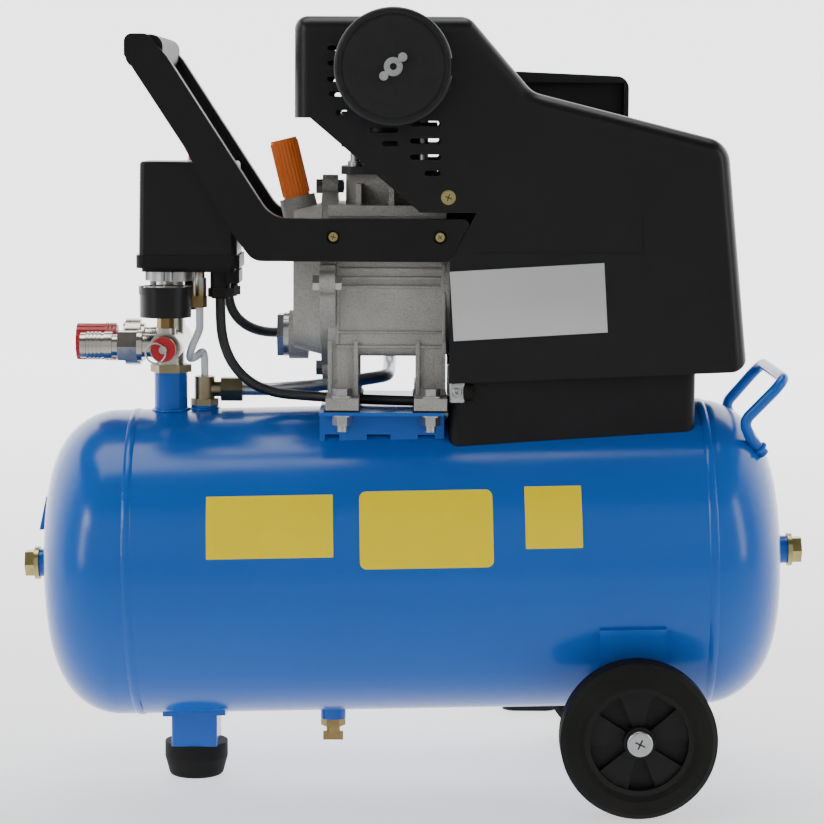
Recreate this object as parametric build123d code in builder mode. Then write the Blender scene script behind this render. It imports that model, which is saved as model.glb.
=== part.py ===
from build123d import *
import os
from math import asin, atan2, cos, degrees, pi, radians, sin, sqrt, tan

# Portable 24 litre air compressor, direct drive. Millimetres.
# +X runs along the tank from the foot to the wheels, -Y is the side with the air filter,
# +Z is up. The origin is on the floor, under the middle of the tank.

os.makedirs("parts", exist_ok=True)

# ---------------------------------------------------------------- driving sizes: tank
tank_radius = 120.0
tank_axis_z = 177.0
tank_tilt = 1.35
tank_pivot_x = 23.0
tank_wall = 2.5
seam_left = -215.0
seam_right = 226.0
head_depth_left = 78.0
head_depth_right = 67.0
head_knuckle = 48.0
bead_width = 7.0
bead_height = 1.1
boss_wall = 4.0
plug_thread = 7.0
plug_length = 11.0

# running gear
wheel_x = 169.5
wheel_radius = 59.0
wheel_width = 33.0
tyre_inner = 41.0
axle_radius = 6.0
bracket_half_gap = tank_radius - 23.0
sheet = 3.0
wheel_side_gap = 6.5
boss_side_gap = 1.0
run_clear = 0.08
free_clear = 0.3
leg_x = -172.0
leg_width = 36.0
foot_radius = 25.0
foot_height = 27.0
drain_x = -63.0

# pump
crank_z = 397.0
crank_throw = 19.0
rod_length = 100.0
bore_radius = 21.0
cylinder_x = -20.0
cylinder_wall = 4.0
case_left = -66.0
case_right = 24.0
case_half = 58.0
case_bottom = 340.0
case_top = 455.0
case_wall = 6.0
bolt_circle = 71.0
saddle_left = -72.0
saddle_right = 23.0
saddle_half = case_half + 24.0
saddle_sheet = 2.5
mount_rubber = 1.6
foot_pad = 9.0
foot_bolt_y = case_half + 15.0

# covers
cowl_half = case_half + 20.0
cowl_wall = 3.0
cowl_round = 12.0
shroud_wall = 3.0
filter_x = -16.5
filter_z = 558.5
filter_radius = 43.6
arm_outer = cowl_half + 2.0
arm_depth = 18.0
screw_points = ((-61.5, 432.0), (19.0, 432.0))

# air fittings
riser_x = -191.0
riser_radius = 13.0
riser_top = 322.0
manifold_z = 345.0
gauge_y = 44.0
gauge_radius = 20.5
outlet_y = 30.0
switch_left = -213.0
switch_right = -137.0
switch_half = 32.0
switch_base_z = 402.0
switch_split_z = 415.0
switch_top_z = 487.0


# ---------------------------------------------------------------- helpers
def along_x(x, y, z):
    """Plane across X at a point, local x along Y and local y along Z."""
    return Plane(origin=(x, y, z), x_dir=(0, 1, 0), z_dir=(1, 0, 0))


def along_y(x, y, z):
    """Plane across Y at a point, local x along X and local y along Z, facing -Y."""
    return Plane(origin=(x, y, z), x_dir=(1, 0, 0), z_dir=(0, -1, 0))


def along_z(x, y, z):
    """Plane across Z at a point."""
    return Plane(origin=(x, y, z), x_dir=(1, 0, 0), z_dir=(0, 0, 1))


def rod(plane, radius, length, mode=Mode.ADD):
    """Solid round bar from a plane."""
    with BuildSketch(plane) as section:
        Circle(radius)
    extrude(section.sketch, amount=length, mode=mode)


def tube(plane, outer, inner, length):
    """Round bar with a bore."""
    with BuildSketch(plane) as section:
        Circle(outer)
        Circle(inner, mode=Mode.SUBTRACT)
    extrude(section.sketch, amount=length)


def hexagon(plane, flats, length, bore=0.0):
    """Hexagon bar, sized across its flats, with an optional bore."""
    with BuildSketch(plane) as section:
        RegularPolygon(flats / 2, 6, major_radius=False)
        if bore > 0:
            Circle(bore, mode=Mode.SUBTRACT)
    extrude(section.sketch, amount=length)


def block(low, high, mode=Mode.ADD):
    """Box between two corners."""
    size = [high[i] - low[i] for i in range(3)]
    with Locations([(low[0] + size[0] / 2, low[1] + size[1] / 2, low[2] + size[2] / 2)]):
        Box(size[0], size[1], size[2], mode=mode)


# the tank slopes down towards its drain: its own axis, points on it and planes across it
tank_run = (cos(radians(tank_tilt)), 0, sin(radians(tank_tilt)))


def tank_point(x):
    """Point on the tank's axis."""
    return (
        tank_pivot_x + (x - tank_pivot_x) * tank_run[0],
        0,
        tank_axis_z + (x - tank_pivot_x) * tank_run[2],
    )


def along_tank(x):
    """Plane across the tank's axis, local x along Y and local y upwards."""
    return Plane(origin=tank_point(x), x_dir=(0, 1, 0), z_dir=tank_run)


def tank_rise(x):
    """How far the tank's axis stands above its level at the pivot."""
    return (x - tank_pivot_x) * tan(radians(tank_tilt))


def dish(plane, depth, inset, mode=Mode.ADD):
    """Dished head: knuckle and crown arcs revolved about the tank's axis."""
    rise = tank_radius - head_knuckle
    crown = (depth**2 + rise**2 - head_knuckle**2) / (2 * (depth - head_knuckle))
    meet = degrees(atan2(rise, crown - depth))
    with BuildSketch(plane) as section:
        with BuildLine():
            knuckle_arc = CenterArc((0, rise), head_knuckle - inset, meet, 90 - meet)
            crown_arc = CenterArc((depth - crown, 0), crown - inset, 0, meet)
            Polyline(crown_arc @ 0, (0, 0), knuckle_arc @ 1)
        make_face()
    revolve(section.sketch, axis=Axis(tank_point(0), tank_run), mode=mode)


tank_back = (-tank_run[0], 0, -tank_run[2])
left_rim = Plane(origin=tank_point(seam_left), x_dir=tank_back, z_dir=(0, 1, 0))
right_rim = Plane(origin=tank_point(seam_right), x_dir=tank_run, z_dir=(0, -1, 0))
tip_left = seam_left - head_depth_left
tip_right = seam_right + head_depth_right
tank_top = tank_axis_z + tank_radius
tank_bottom = tank_axis_z - tank_radius


def tank_level(y):
    """Height of the tank's upper skin at a distance from its middle plane."""
    return tank_axis_z + sqrt(tank_radius**2 - y**2)


# the outer skin of the whole tank, which shapes everything welded to it
with BuildPart() as envelope:
    rod(along_tank(seam_left), tank_radius, seam_right - seam_left)
    dish(left_rim, head_depth_left, 0)
    dish(right_rim, head_depth_right, 0)

# ---------------------------------------------------------------- tank
check_x = -165.0
check_y = 6.0
drain_bore = 7.0
check_bore = 6.0
riser_bore = riser_radius - 3.0
with BuildPart() as tank_shell:
    tube(along_tank(seam_left), tank_radius, tank_radius - tank_wall, seam_right - seam_left)
    for seam in (seam_left, seam_right):
        with BuildSketch(Plane(origin=tank_point(seam), x_dir=tank_run, z_dir=(0, -1, 0))) as bead:
            with BuildLine():
                ThreePointArc(
                    (-bead_width / 2, tank_radius),
                    (0, tank_radius + bead_height),
                    (bead_width / 2, tank_radius),
                )
                Line((bead_width / 2, tank_radius), (-bead_width / 2, tank_radius))
            make_face()
        revolve(bead.sketch, axis=Axis(tank_point(0), tank_run))
    rod(along_z(riser_x, 0, tank_axis_z), riser_bore, tank_radius * 2, Mode.SUBTRACT)
    rod(along_z(check_x, check_y, tank_axis_z), check_bore, tank_radius * 2, Mode.SUBTRACT)
    rod(along_z(drain_x, 0, 0), drain_bore, tank_axis_z - tank_radius / 2, Mode.SUBTRACT)
tank_shell.part.label = "tank_shell"
export_step(tank_shell.part, "parts/tank_shell.step")

with BuildPart() as tank_heads:
    dish(left_rim, head_depth_left, 0)
    dish(left_rim, head_depth_left, tank_wall, Mode.SUBTRACT)
    rod(along_tank(tip_left - 1), plug_thread, head_depth_left, Mode.SUBTRACT)
    dish(right_rim, head_depth_right, 0)
    dish(right_rim, head_depth_right, tank_wall, Mode.SUBTRACT)
    rod(along_tank(seam_right + 1), plug_thread, head_depth_right, Mode.SUBTRACT)
tank_heads.part.label = "tank_heads"
export_step(tank_heads.part, "parts/tank_heads.step")

# threaded bosses: one on each dome, one below for the drain, one above for the check valve
neck_stand = 2.5
boss_radius = plug_thread + boss_wall
drain_boss_bottom = tank_bottom + tank_rise(drain_x) - 9.0
check_boss_top = tank_top + tank_rise(check_x) + 3.0
with BuildPart() as tank_bosses:
    with BuildSketch(along_tank(tip_left - neck_stand)) as ring:
        Circle(boss_radius)
        Circle(plug_thread, mode=Mode.SUBTRACT)
    extrude(ring.sketch, amount=neck_stand + 6)
    with BuildSketch(along_tank(tip_right + neck_stand)) as ring:
        Circle(boss_radius)
        Circle(plug_thread, mode=Mode.SUBTRACT)
    extrude(ring.sketch, amount=-neck_stand - 6)
    tube(along_z(drain_x, 0, drain_boss_bottom), drain_bore + 3, drain_bore, 14)
    tube(along_z(check_x, check_y, check_boss_top - 9), check_bore + 5, check_bore, 9)
    add(envelope.part, mode=Mode.SUBTRACT)

# hexagon end plugs, screwed into the dome bosses
plug_head = 13.0
with BuildPart() as end_plugs:
    for side in (-1, 1):
        face = tip_left - neck_stand if side < 0 else tip_right + neck_stand
        rod(along_tank(face), plug_head, side * 3.5)
        hexagon(along_tank(face + side * 3.5), 19, side * (plug_length - 3.5))
        rod(along_tank(face), plug_thread - 0.1, -side * 9)
end_plugs.part.label = "end_plugs"
export_step(end_plugs.part, "parts/end_plugs.step")

# flat tab welded edge-on to the left dome
tab_y = 2.0
with BuildPart() as tank_tab:
    with BuildSketch(along_y(0, tab_y, 0)) as outline:
        Polygon((-255, 257), (-279.5, 257), (-287, 234), (-287, 226), (-290, 222), (-295.5, 196), (-255, 200), align=None)
    extrude(outline.sketch, amount=2 * tab_y)
    add(envelope.part, mode=Mode.SUBTRACT)

# saddle: flat top plate with two webs welded along the tank
saddle_top = tank_top + saddle_sheet
web_outer = 65.0
slots = ((-68, -57), (-36, -18), (3, 16))
bolt_xs = (case_left + 11.5, case_right - 11.5)
mount_bolt = 4.0
with BuildPart() as pump_saddle:
    block((saddle_left, -saddle_half, tank_top), (saddle_right, saddle_half, saddle_top))
    for side in (-1, 1):
        y_in = side * (web_outer - saddle_sheet)
        y_out = side * web_outer
        low_y = min(y_in, y_out)
        block((saddle_left, low_y, tank_axis_z), (saddle_right, low_y + saddle_sheet, tank_top))
        for slot in slots:
            reach = tank_level(web_outer) + 3.0
            block((slot[0], low_y - 1, tank_axis_z), (slot[1], low_y + saddle_sheet + 1, reach), Mode.SUBTRACT)
    for x in bolt_xs:
        for side in (-1, 1):
            rod(along_z(x, side * foot_bolt_y, tank_top - 1), mount_bolt + free_clear, 10, Mode.SUBTRACT)
    add(envelope.part, mode=Mode.SUBTRACT)
pump_saddle.part.label = "pump_saddle"
export_step(pump_saddle.part, "parts/pump_saddle.step")

# riser pipe under the manifold
with BuildPart() as riser_pipe:
    tube(along_z(riser_x, 0, tank_axis_z), riser_radius, riser_bore, riser_top - tank_axis_z)
    add(envelope.part, mode=Mode.SUBTRACT)

# front leg: bent channel, open at the back, with a curved pad against the tank
leg_half = 30.0
leg_front = foot_radius - 1.5
leg_root = tank_bottom + tank_rise(leg_x)
pad_left = leg_x - 26.0
pad_right = leg_x + 25.0
foot_bolt_radius = 4.0
with BuildPart() as front_leg:
    block((pad_left, -leg_half, leg_root - 6), (pad_right, leg_half, leg_root + 22))
    rod(along_tank(pad_left - 1), tank_radius + sheet, pad_right - pad_left + 2, Mode.INTERSECT)
    block((leg_x - leg_width / 2, -leg_front, foot_height), (leg_x + leg_width / 2, leg_front, leg_root + 12))
    fillet(edges().filter_by(Axis.Z).group_by(Axis.Y)[1], radius=sheet)
    inner = leg_width / 2 - sheet
    block(
        (leg_x - inner, sheet - leg_front, foot_height + sheet),
        (leg_x + inner, leg_half, leg_root - 4),
        Mode.SUBTRACT,
    )
    rod(along_z(leg_x, 0, foot_height - 1), foot_bolt_radius + free_clear, sheet + 2, Mode.SUBTRACT)
    add(envelope.part, mode=Mode.SUBTRACT)
front_leg.part.label = "front_leg"
export_step(front_leg.part, "parts/front_leg.step")

# rubber foot under the leg's plate, tapered to a rounded base, with a sunk bolt hole
foot_straight = 12.0
with BuildPart() as rubber_foot:
    with BuildSketch(along_z(leg_x, 0, 0)) as base:
        Circle(foot_radius - 4)
    with BuildSketch(along_z(leg_x, 0, foot_height - foot_straight)) as shoulder:
        Circle(foot_radius)
    loft(sections=[base.sketch, shoulder.sketch])
    fillet(edges().filter_by(GeomType.CIRCLE).sort_by(Axis.Z)[0], radius=3.5)
    rod(along_z(leg_x, 0, foot_height - foot_straight), foot_radius, foot_straight)
    rod(along_z(leg_x, 0, -1), foot_bolt_radius + free_clear, foot_height + 2, Mode.SUBTRACT)
    rod(along_z(leg_x, 0, -1), 9, 8, Mode.SUBTRACT)

with BuildPart() as foot_bolt:
    hexagon(along_z(leg_x, 0, 2), 13, 5)
    rod(along_z(leg_x, 0, 6), foot_bolt_radius, foot_height + sheet + 2)
    hexagon(along_z(leg_x, 0, foot_height + sheet), 13, 6.5)

# wheel bracket: one strap under the tank with an upturned cheek and a curved pad each side
bracket_low = wheel_radius - 17.0
strap_left = wheel_x - 30.0
strap_right = wheel_x + 20.0
pad_reach = 17.0
with BuildPart() as wheel_bracket:
    block((strap_left, -bracket_half_gap, bracket_low), (strap_right, bracket_half_gap, bracket_low + sheet))
    for side in (-1, 1):
        y_in = side * bracket_half_gap
        y_out = side * (bracket_half_gap + sheet)
        cheek_top = tank_axis_z + tank_rise(strap_right) - sqrt(tank_radius**2 - bracket_half_gap**2) + 6
        block((strap_left, min(y_in, y_out), bracket_low), (strap_right, max(y_in, y_out), cheek_top))
        angle = degrees(asin(bracket_half_gap / tank_radius))
        with BuildSketch(along_tank(strap_left)) as pad:
            with BuildLine():
                start = -90 + side * angle
                outer = CenterArc((0, 0), tank_radius + sheet, start, side * pad_reach)
                inner_arc = CenterArc((0, 0), tank_radius, start, side * pad_reach)
                Line(outer @ 0, inner_arc @ 0)
                Line(outer @ 1, inner_arc @ 1)
            make_face()
        extrude(pad.sketch, amount=strap_right - strap_left)
        hole = along_y(wheel_x, side * (bracket_half_gap - 1) if side < 0 else bracket_half_gap + sheet + 1, wheel_radius)
        rod(hole, axle_radius - 1 + free_clear, sheet + 2, Mode.SUBTRACT)
    add(envelope.part, mode=Mode.SUBTRACT)
wheel_bracket.part.label = "wheel_bracket"
export_step(wheel_bracket.part, "parts/wheel_bracket.step")

# wheels: tyre with tread grooves, moulded hub with five blades, shoulder bolt and nut
wheel_inner_y = bracket_half_gap + sheet + wheel_side_gap
wheel_outer_y = wheel_inner_y + wheel_width
boss_inner_y = bracket_half_gap + sheet + boss_side_gap
rim_radius = tyre_inner
boss_r = 12.0
web_half = 4.0


def wheel_plane(side, y):
    """Plane across the wheel's axle, facing away from the tank on that side."""
    return Plane(origin=(wheel_x, side * y, wheel_radius), x_dir=(1, 0, 0), z_dir=(0, side, 0))


def build_tyre(side):
    """Solid rubber tyre: a section with two tread grooves and stepped sidewalls, revolved."""
    half = wheel_width / 2
    middle = wheel_inner_y + half
    section_plane = Plane(origin=(wheel_x, side * middle, wheel_radius), x_dir=(0, side, 0), z_dir=(-side, 0, 0))
    with BuildSketch(section_plane) as section:
        with BuildLine():
            Polyline(
                (-half + 3, rim_radius),
                (half - 3, rim_radius),
                (half, rim_radius + 4),
                (half - 0.8, wheel_radius - 8),
                (half - 1.6, wheel_radius - 4),
                (half - 5, wheel_radius),
                (7.5, wheel_radius),
                (7.0, wheel_radius - 2),
                (5.0, wheel_radius - 2),
                (4.5, wheel_radius),
                (-4.5, wheel_radius),
                (-5.0, wheel_radius - 2),
                (-7.0, wheel_radius - 2),
                (-7.5, wheel_radius),
                (-half + 5, wheel_radius),
                (-half + 1.6, wheel_radius - 4),
                (-half + 0.8, wheel_radius - 8),
                (-half, rim_radius + 4),
                (-half + 3, rim_radius),
            )
        make_face()
    revolve(section.sketch, axis=Axis((wheel_x, 0, wheel_radius), (0, 1, 0)))


def build_hub(side):
    """Moulded hub: rim, web, boss and five raised slanted blades on the outer face."""
    tube(wheel_plane(side, wheel_inner_y + 3), rim_radius, rim_radius - 4, wheel_width - 6)
    mid = wheel_inner_y + wheel_width / 2
    rod(wheel_plane(side, mid - web_half), rim_radius - 2, 2 * web_half)
    rod(wheel_plane(side, boss_inner_y), boss_r, wheel_outer_y - boss_inner_y)
    for k in range(5):
        with BuildSketch(wheel_plane(side, mid + web_half - 0.5)) as blade:
            with Locations(Rotation(0, 0, 72 * k - side * 22)):
                Polygon(
                    (boss_r - 1.5, -4.2),
                    (rim_radius - 3, -13.5),
                    (rim_radius - 3, 13.5),
                    (boss_r - 1.5, 4.2),
                    align=None,
                )
        extrude(blade.sketch, amount=wheel_width / 2 - web_half - 6)
    rod(wheel_plane(side, boss_inner_y - 1), axle_radius + run_clear, wheel_outer_y, Mode.SUBTRACT)


with BuildPart() as tyre_front:
    build_tyre(-1)
tyre_front.part.label = "tyre_front"
export_step(tyre_front.part, "parts/tyre_front.step")

with BuildPart() as tyre_rear:
    build_tyre(1)
tyre_rear.part.label = "tyre_rear"
export_step(tyre_rear.part, "parts/tyre_rear.step")

with BuildPart() as wheel_hub_front:
    build_hub(-1)
wheel_hub_front.part.label = "wheel_hub_front"
export_step(wheel_hub_front.part, "parts/wheel_hub_front.step")

with BuildPart() as wheel_hub_rear:
    build_hub(1)
wheel_hub_rear.part.label = "wheel_hub_rear"
export_step(wheel_hub_rear.part, "parts/wheel_hub_rear.step")

# shoulder bolts: pan head, shoulder the wheel turns on, thread and nut inside the cheek
with BuildPart() as axle_bolts:
    for side in (-1, 1):
        with BuildSketch(wheel_plane(side, wheel_outer_y + 0.5)) as head:
            Circle(10)
        extrude(head.sketch, amount=4)
        crown_edge = edges().filter_by(GeomType.CIRCLE).sort_by(Axis.Y)[0 if side < 0 else -1]
        fillet(crown_edge, radius=2.2)
        rod(wheel_plane(side, bracket_half_gap + sheet), axle_radius, wheel_outer_y + 0.5 - bracket_half_gap - sheet)
        rod(wheel_plane(side, bracket_half_gap - 12), axle_radius - 1, 12 + sheet)
        hexagon(wheel_plane(side, bracket_half_gap - 8), 16, 8)

# pull handle: bent rod, two splayed legs welded to the right dome
handle_rod = 4.3
grip_x = 282.0
grip_z = 325.0
grip_half = 70.0
with BuildPart() as rear_handle:
    with BuildLine() as spine:
        FilletPolyline(
            (269, -54, 266),
            (258.5, -57, 278),
            (252, -62, 292),
            (grip_x, -grip_half, grip_z),
            (grip_x, grip_half, grip_z),
            (252, 62, 292),
            (258.5, 57, 278),
            (269, 54, 266),
            radius=[7, 10, 12, 12, 10, 7],
        )
    with BuildSketch(Plane(origin=spine.line @ 0, z_dir=spine.line % 0)):
        Circle(handle_rod)
    sweep(path=spine.line)
    add(envelope.part, mode=Mode.SUBTRACT)
rear_handle.part.label = "rear_handle"
export_step(rear_handle.part, "parts/rear_handle.step")

# drain: hexagon body in its boss, knurled screw below it
drain_body_bottom = drain_boss_bottom - 6.0
drain_stem = 3.0
with BuildPart() as drain_body:
    hexagon(along_z(drain_x, 0, drain_body_bottom), 17, 6, drain_stem + free_clear)
    tube(along_z(drain_x, 0, drain_boss_bottom), drain_bore - 0.1, drain_stem + free_clear, 10)

drain_screw_top = drain_body_bottom - 0.5
with BuildPart() as drain_screw:
    rod(along_z(drain_x, 0, drain_screw_top - 5), 5.5, 5)
    with Locations([(drain_x, 0, drain_screw_top - 8)]):
        Box(16, 3, 7)
    rod(along_z(drain_x, 0, drain_screw_top), drain_stem, 12)
drain_screw.part.label = "drain_screw"
export_step(drain_screw.part, "parts/drain_screw.step")

# ---------------------------------------------------------------- pump: crankcase casting
deck_plate = 8.0
flange_thick = 6.0
flange_radius = 68.0
lobe_radius = 9.0
cover_bolt = 3.0
lobe_angles = (0, 90, 180, 270)
foot_xs = bolt_xs
foot_width = 25.0
leg_reach = 11.5
leg_y = 50.0
pad_bottom = saddle_top + mount_rubber
pad_top = pad_bottom + foot_pad
turret_top = 478.0
turret_radius = 34.0
spigot_radius = bore_radius + cylinder_wall
bell_radius = 60.0
bell_right = 34.0
bearing_outer = 20.0
bearing_width = 12.0
shaft_radius = 8.5
rib_xs = (-43, -18, 5)
groove_z = 395.0


def flange_outline(plane):
    """Round flange with a bolt lobe every quarter turn."""
    with BuildSketch(plane) as outline:
        Circle(flange_radius)
        for angle in lobe_angles:
            with Locations((bolt_circle * cos(radians(angle)), bolt_circle * sin(radians(angle)))):
                Circle(lobe_radius)
        # flats beside the handle's arms
        for side in (-1, 1):
            with Locations((side * (arm_outer - arm_depth + 19), 33)):
                Rectangle(40, 40, mode=Mode.SUBTRACT)
    return outline.sketch


with BuildPart() as crankcase:
    block((case_left, -case_half, case_bottom), (case_right, case_half, case_top))
    fillet(edges().filter_by(Axis.X), radius=7)
    extrude(flange_outline(along_x(case_left, 0, crank_z)), amount=flange_thick)
    block((case_left, -case_half - 2, case_top - deck_plate), (case_right, case_half + 2, case_top))
    rod(along_x(case_right - 4, 0, crank_z), bell_radius, bell_right - case_right + 4)
    rod(along_z(cylinder_x, 0, case_top - 2), turret_radius, turret_top - case_top + 2)
    for point in screw_points:
        for side in (-1, 1):
            seat = Plane(origin=(point[0], side * (case_half - 2), point[1]), z_dir=(0, side, 0))
            rod(seat, 4.4, arm_outer - arm_depth - case_half + 2)
    for x in rib_xs:
        block((x - 2, -case_half + 4, case_top - 1), (x + 2, case_half - 4, case_top + 16))
    for x in foot_xs:
        for side in (-1, 1):
            ys = sorted((side * (leg_y - 6), side * case_half))
            block((x - leg_reach, ys[0], pad_top - 2), (x + leg_reach, ys[1], case_bottom + 8))
            ys = sorted((side * (leg_y - 6), side * saddle_half))
            block((x - foot_width / 2, ys[0], pad_bottom), (x + foot_width / 2, ys[1], pad_top))
            for edge_x in (x - leg_reach, x + leg_reach - 3):
                ys = sorted((side * case_half, side * (case_half + 3)))
                block((edge_x, ys[0], pad_top - 2), (edge_x + 3, ys[1], case_bottom + 12))
    # room inside for the crank, open at the end cover and at the cylinder
    block(
        (case_left - 1, -case_half + case_wall + 1, case_bottom + case_wall),
        (case_right - 15, case_half - case_wall - 1, case_top - deck_plate),
        Mode.SUBTRACT,
    )
    rod(along_z(cylinder_x, 0, case_top - deck_plate - 1), spigot_radius + 0.1, 60, Mode.SUBTRACT)
    rod(along_x(case_right - 20, 0, crank_z), shaft_radius + 3, 60, Mode.SUBTRACT)
    rod(along_x(bell_right - bearing_width, 0, crank_z), bearing_outer, 60, Mode.SUBTRACT)
    for x in foot_xs:
        for side in (-1, 1):
            rod(along_z(x, side * foot_bolt_y, pad_bottom - 1), mount_bolt + free_clear, 30, Mode.SUBTRACT)
    for angle in lobe_angles:
        y = bolt_circle * cos(radians(angle))
        z = crank_z + bolt_circle * sin(radians(angle))
        rod(along_x(case_left - 1, y, z), cover_bolt + 0.2, flange_thick + 2, Mode.SUBTRACT)
    for point in screw_points:
        for side in (-1, 1):
            seat = Plane(origin=(point[0], side * (arm_outer - arm_depth + 1), point[1]), z_dir=(0, -side, 0))
            rod(seat, 2.6, 16, Mode.SUBTRACT)
    # cast grooves along both sides
    for side in (-1, 1):
        ys = sorted((side * (case_half - 1.5), side * (case_half + 1)))
        block((case_left + flange_thick + 2, ys[0], groove_z), (case_right - 2, ys[1], groove_z + 3.5), Mode.SUBTRACT)
crankcase.part.label = "crankcase"
export_step(crankcase.part, "parts/crankcase.step")

# end cover: flange, bulged dish, sight glass boss and leaning filler neck
cover_thick = 6.0
cover_bulge = 21.0
cover_left = case_left - cover_thick - cover_bulge
sight_z = 352.0
sight_radius = 17.0
sight_boss = 5.0
filler_x = -92.0
filler_z = 459.5
filler_lean = 13.6
filler_radius = 11.0
filler_plane = Plane(
    origin=(filler_x, 0, filler_z),
    x_dir=(cos(radians(filler_lean)), 0, sin(radians(filler_lean))),
    z_dir=(-sin(radians(filler_lean)), 0, cos(radians(filler_lean))),
)
with BuildPart() as crankcase_cover:
    extrude(flange_outline(along_x(case_left, 0, crank_z)), amount=-cover_thick)
    with BuildSketch(along_x(case_left - cover_thick + 1, 0, crank_z)) as dish_base:
        RectangleRounded(104, 116, 22)
    with BuildSketch(along_x(cover_left, 0, crank_z)) as dish_face:
        RectangleRounded(92, 106, 20)
    loft(sections=[dish_base.sketch, dish_face.sketch])
    rod(along_x(cover_left, 0, sight_z), sight_radius + 2, -sight_boss)
    rod(along_x(cover_left, 0, sight_z), sight_radius + 2, 10)
    rod(filler_plane.offset(-22), filler_radius + 3, 22)
    with BuildSketch(along_x(case_left + 1, 0, crank_z)) as room:
        RectangleRounded(88, 98, 16)
    extrude(room.sketch, amount=-cover_thick - cover_bulge + 3, mode=Mode.SUBTRACT)
    rod(along_x(cover_left - 20, 0, sight_z), sight_radius - 6, 40, Mode.SUBTRACT)
    rod(filler_plane.offset(-30), filler_radius - 3, 40, Mode.SUBTRACT)
    for angle in lobe_angles:
        y = bolt_circle * cos(radians(angle))
        z = crank_z + bolt_circle * sin(radians(angle))
        rod(along_x(case_left - cover_thick - 1, y, z), cover_bolt + 0.2, cover_thick + 2, Mode.SUBTRACT)
crankcase_cover.part.label = "crankcase_cover"
export_step(crankcase_cover.part, "parts/crankcase_cover.step")

with BuildPart() as cover_bolts:
    for angle in lobe_angles:
        y = bolt_circle * cos(radians(angle))
        z = crank_z + bolt_circle * sin(radians(angle))
        hexagon(along_x(case_left - cover_thick, y, z), 11, -5)
        rod(along_x(case_left - cover_thick, y, z), cover_bolt, cover_thick + flange_thick + 5)
        hexagon(along_x(case_left + flange_thick, y, z), 10, 4.5)

# sight glass: chromed ring with six flats and the glass in it
ring_left = cover_left - sight_boss
with BuildPart() as sight_ring:
    tube(along_x(ring_left, 0, sight_z), sight_radius, 12, -4)
    hexagon(along_x(ring_left - 4, 0, sight_z), 2 * sight_radius - 2, -5, 10)
    tube(along_x(ring_left, 0, sight_z), sight_radius - 6.1, 9, 6)

with BuildPart() as sight_lens:
    rod(along_x(ring_left - 4, 0, sight_z), 11.9, 3.9)

# oil filler plug: orange moulding with lengthwise ribs
plug_rise = 46.0
with BuildPart() as oil_filler_plug:
    rod(filler_plane, filler_radius - 0.8, plug_rise)
    with BuildSketch(filler_plane.offset(2)) as ribs:
        Circle(filler_radius - 0.7)
        with PolarLocations(filler_radius - 0.9, 24):
            Circle(0.9)
    extrude(ribs.sketch, amount=plug_rise - 4)
    rod(filler_plane.offset(-12), filler_radius - 3.3, 12)
oil_filler_plug.part.label = "oil_filler_plug"
export_step(oil_filler_plug.part, "parts/oil_filler_plug.step")

# rubber mounts, bolts and nuts that hold the pump on the saddle
with BuildPart() as rubber_mounts:
    for x in foot_xs:
        for side in (-1, 1):
            ys = sorted((side * (leg_y - 4), side * (saddle_half - 0.5)))
            block((x - foot_width / 2 - 1, ys[0], saddle_top), (x + foot_width / 2 + 1, ys[1], pad_bottom))
            rod(along_z(x, side * foot_bolt_y, saddle_top - 1), mount_bolt + free_clear, 6, Mode.SUBTRACT)

with BuildPart() as pump_bolts:
    for x in foot_xs:
        for side in (-1, 1):
            y = side * foot_bolt_y
            tube(along_z(x, y, pad_top), 8.5, mount_bolt + 0.1, 1.5)
            hexagon(along_z(x, y, pad_top + 1.5), 13, 5.5)
            rod(along_z(x, y, tank_top - 13), mount_bolt, pad_top + 1.5 - tank_top + 13)
            tube(along_z(x, y, tank_top - 1.5), 7.5, mount_bolt + 0.1, 1.5)
            hexagon(along_z(x, y, tank_top - 8), 13, 6.5)

# ---------------------------------------------------------------- cylinder, head, piston
cylinder_flange = 74.0
fin_pitch = 8.0
fin_thick = 3.0
fin_count = 5
cylinder_top = crank_z + crank_throw + rod_length + 26.0
fin_first = cylinder_top - 43.0
stud_offset = 26.5
stud_radius = 3.5
head_top = cylinder_top + 32.0
head_half = 36.0
intake_radius = 10.0
pipe_radius = 5.0
delivery_port_z = cylinder_top + 14.0
with BuildPart() as cylinder:
    rod(along_z(cylinder_x, 0, case_top - 4), spigot_radius, cylinder_top - case_top + 4)
    with BuildSketch(along_z(cylinder_x, 0, turret_top)) as flange:
        RectangleRounded(cylinder_flange, cylinder_flange, 10)
    extrude(flange.sketch, amount=6)
    for k in range(fin_count):
        with BuildSketch(along_z(cylinder_x, 0, fin_first + k * fin_pitch)) as fin:
            RectangleRounded(cylinder_flange, cylinder_flange, 10)
        extrude(fin.sketch, amount=fin_thick)
    with BuildSketch(along_z(cylinder_x, 0, cylinder_top - 5)) as deck:
        RectangleRounded(cylinder_flange, cylinder_flange, 10)
    extrude(deck.sketch, amount=5)
    rod(along_z(cylinder_x, 0, case_top - 5), bore_radius, 100, Mode.SUBTRACT)
    for dx in (-stud_offset, stud_offset):
        for dy in (-stud_offset, stud_offset):
            rod(along_z(cylinder_x + dx, dy, turret_top - 1), stud_radius + 0.2, 80, Mode.SUBTRACT)
cylinder.part.label = "cylinder"
export_step(cylinder.part, "parts/cylinder.step")

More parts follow.
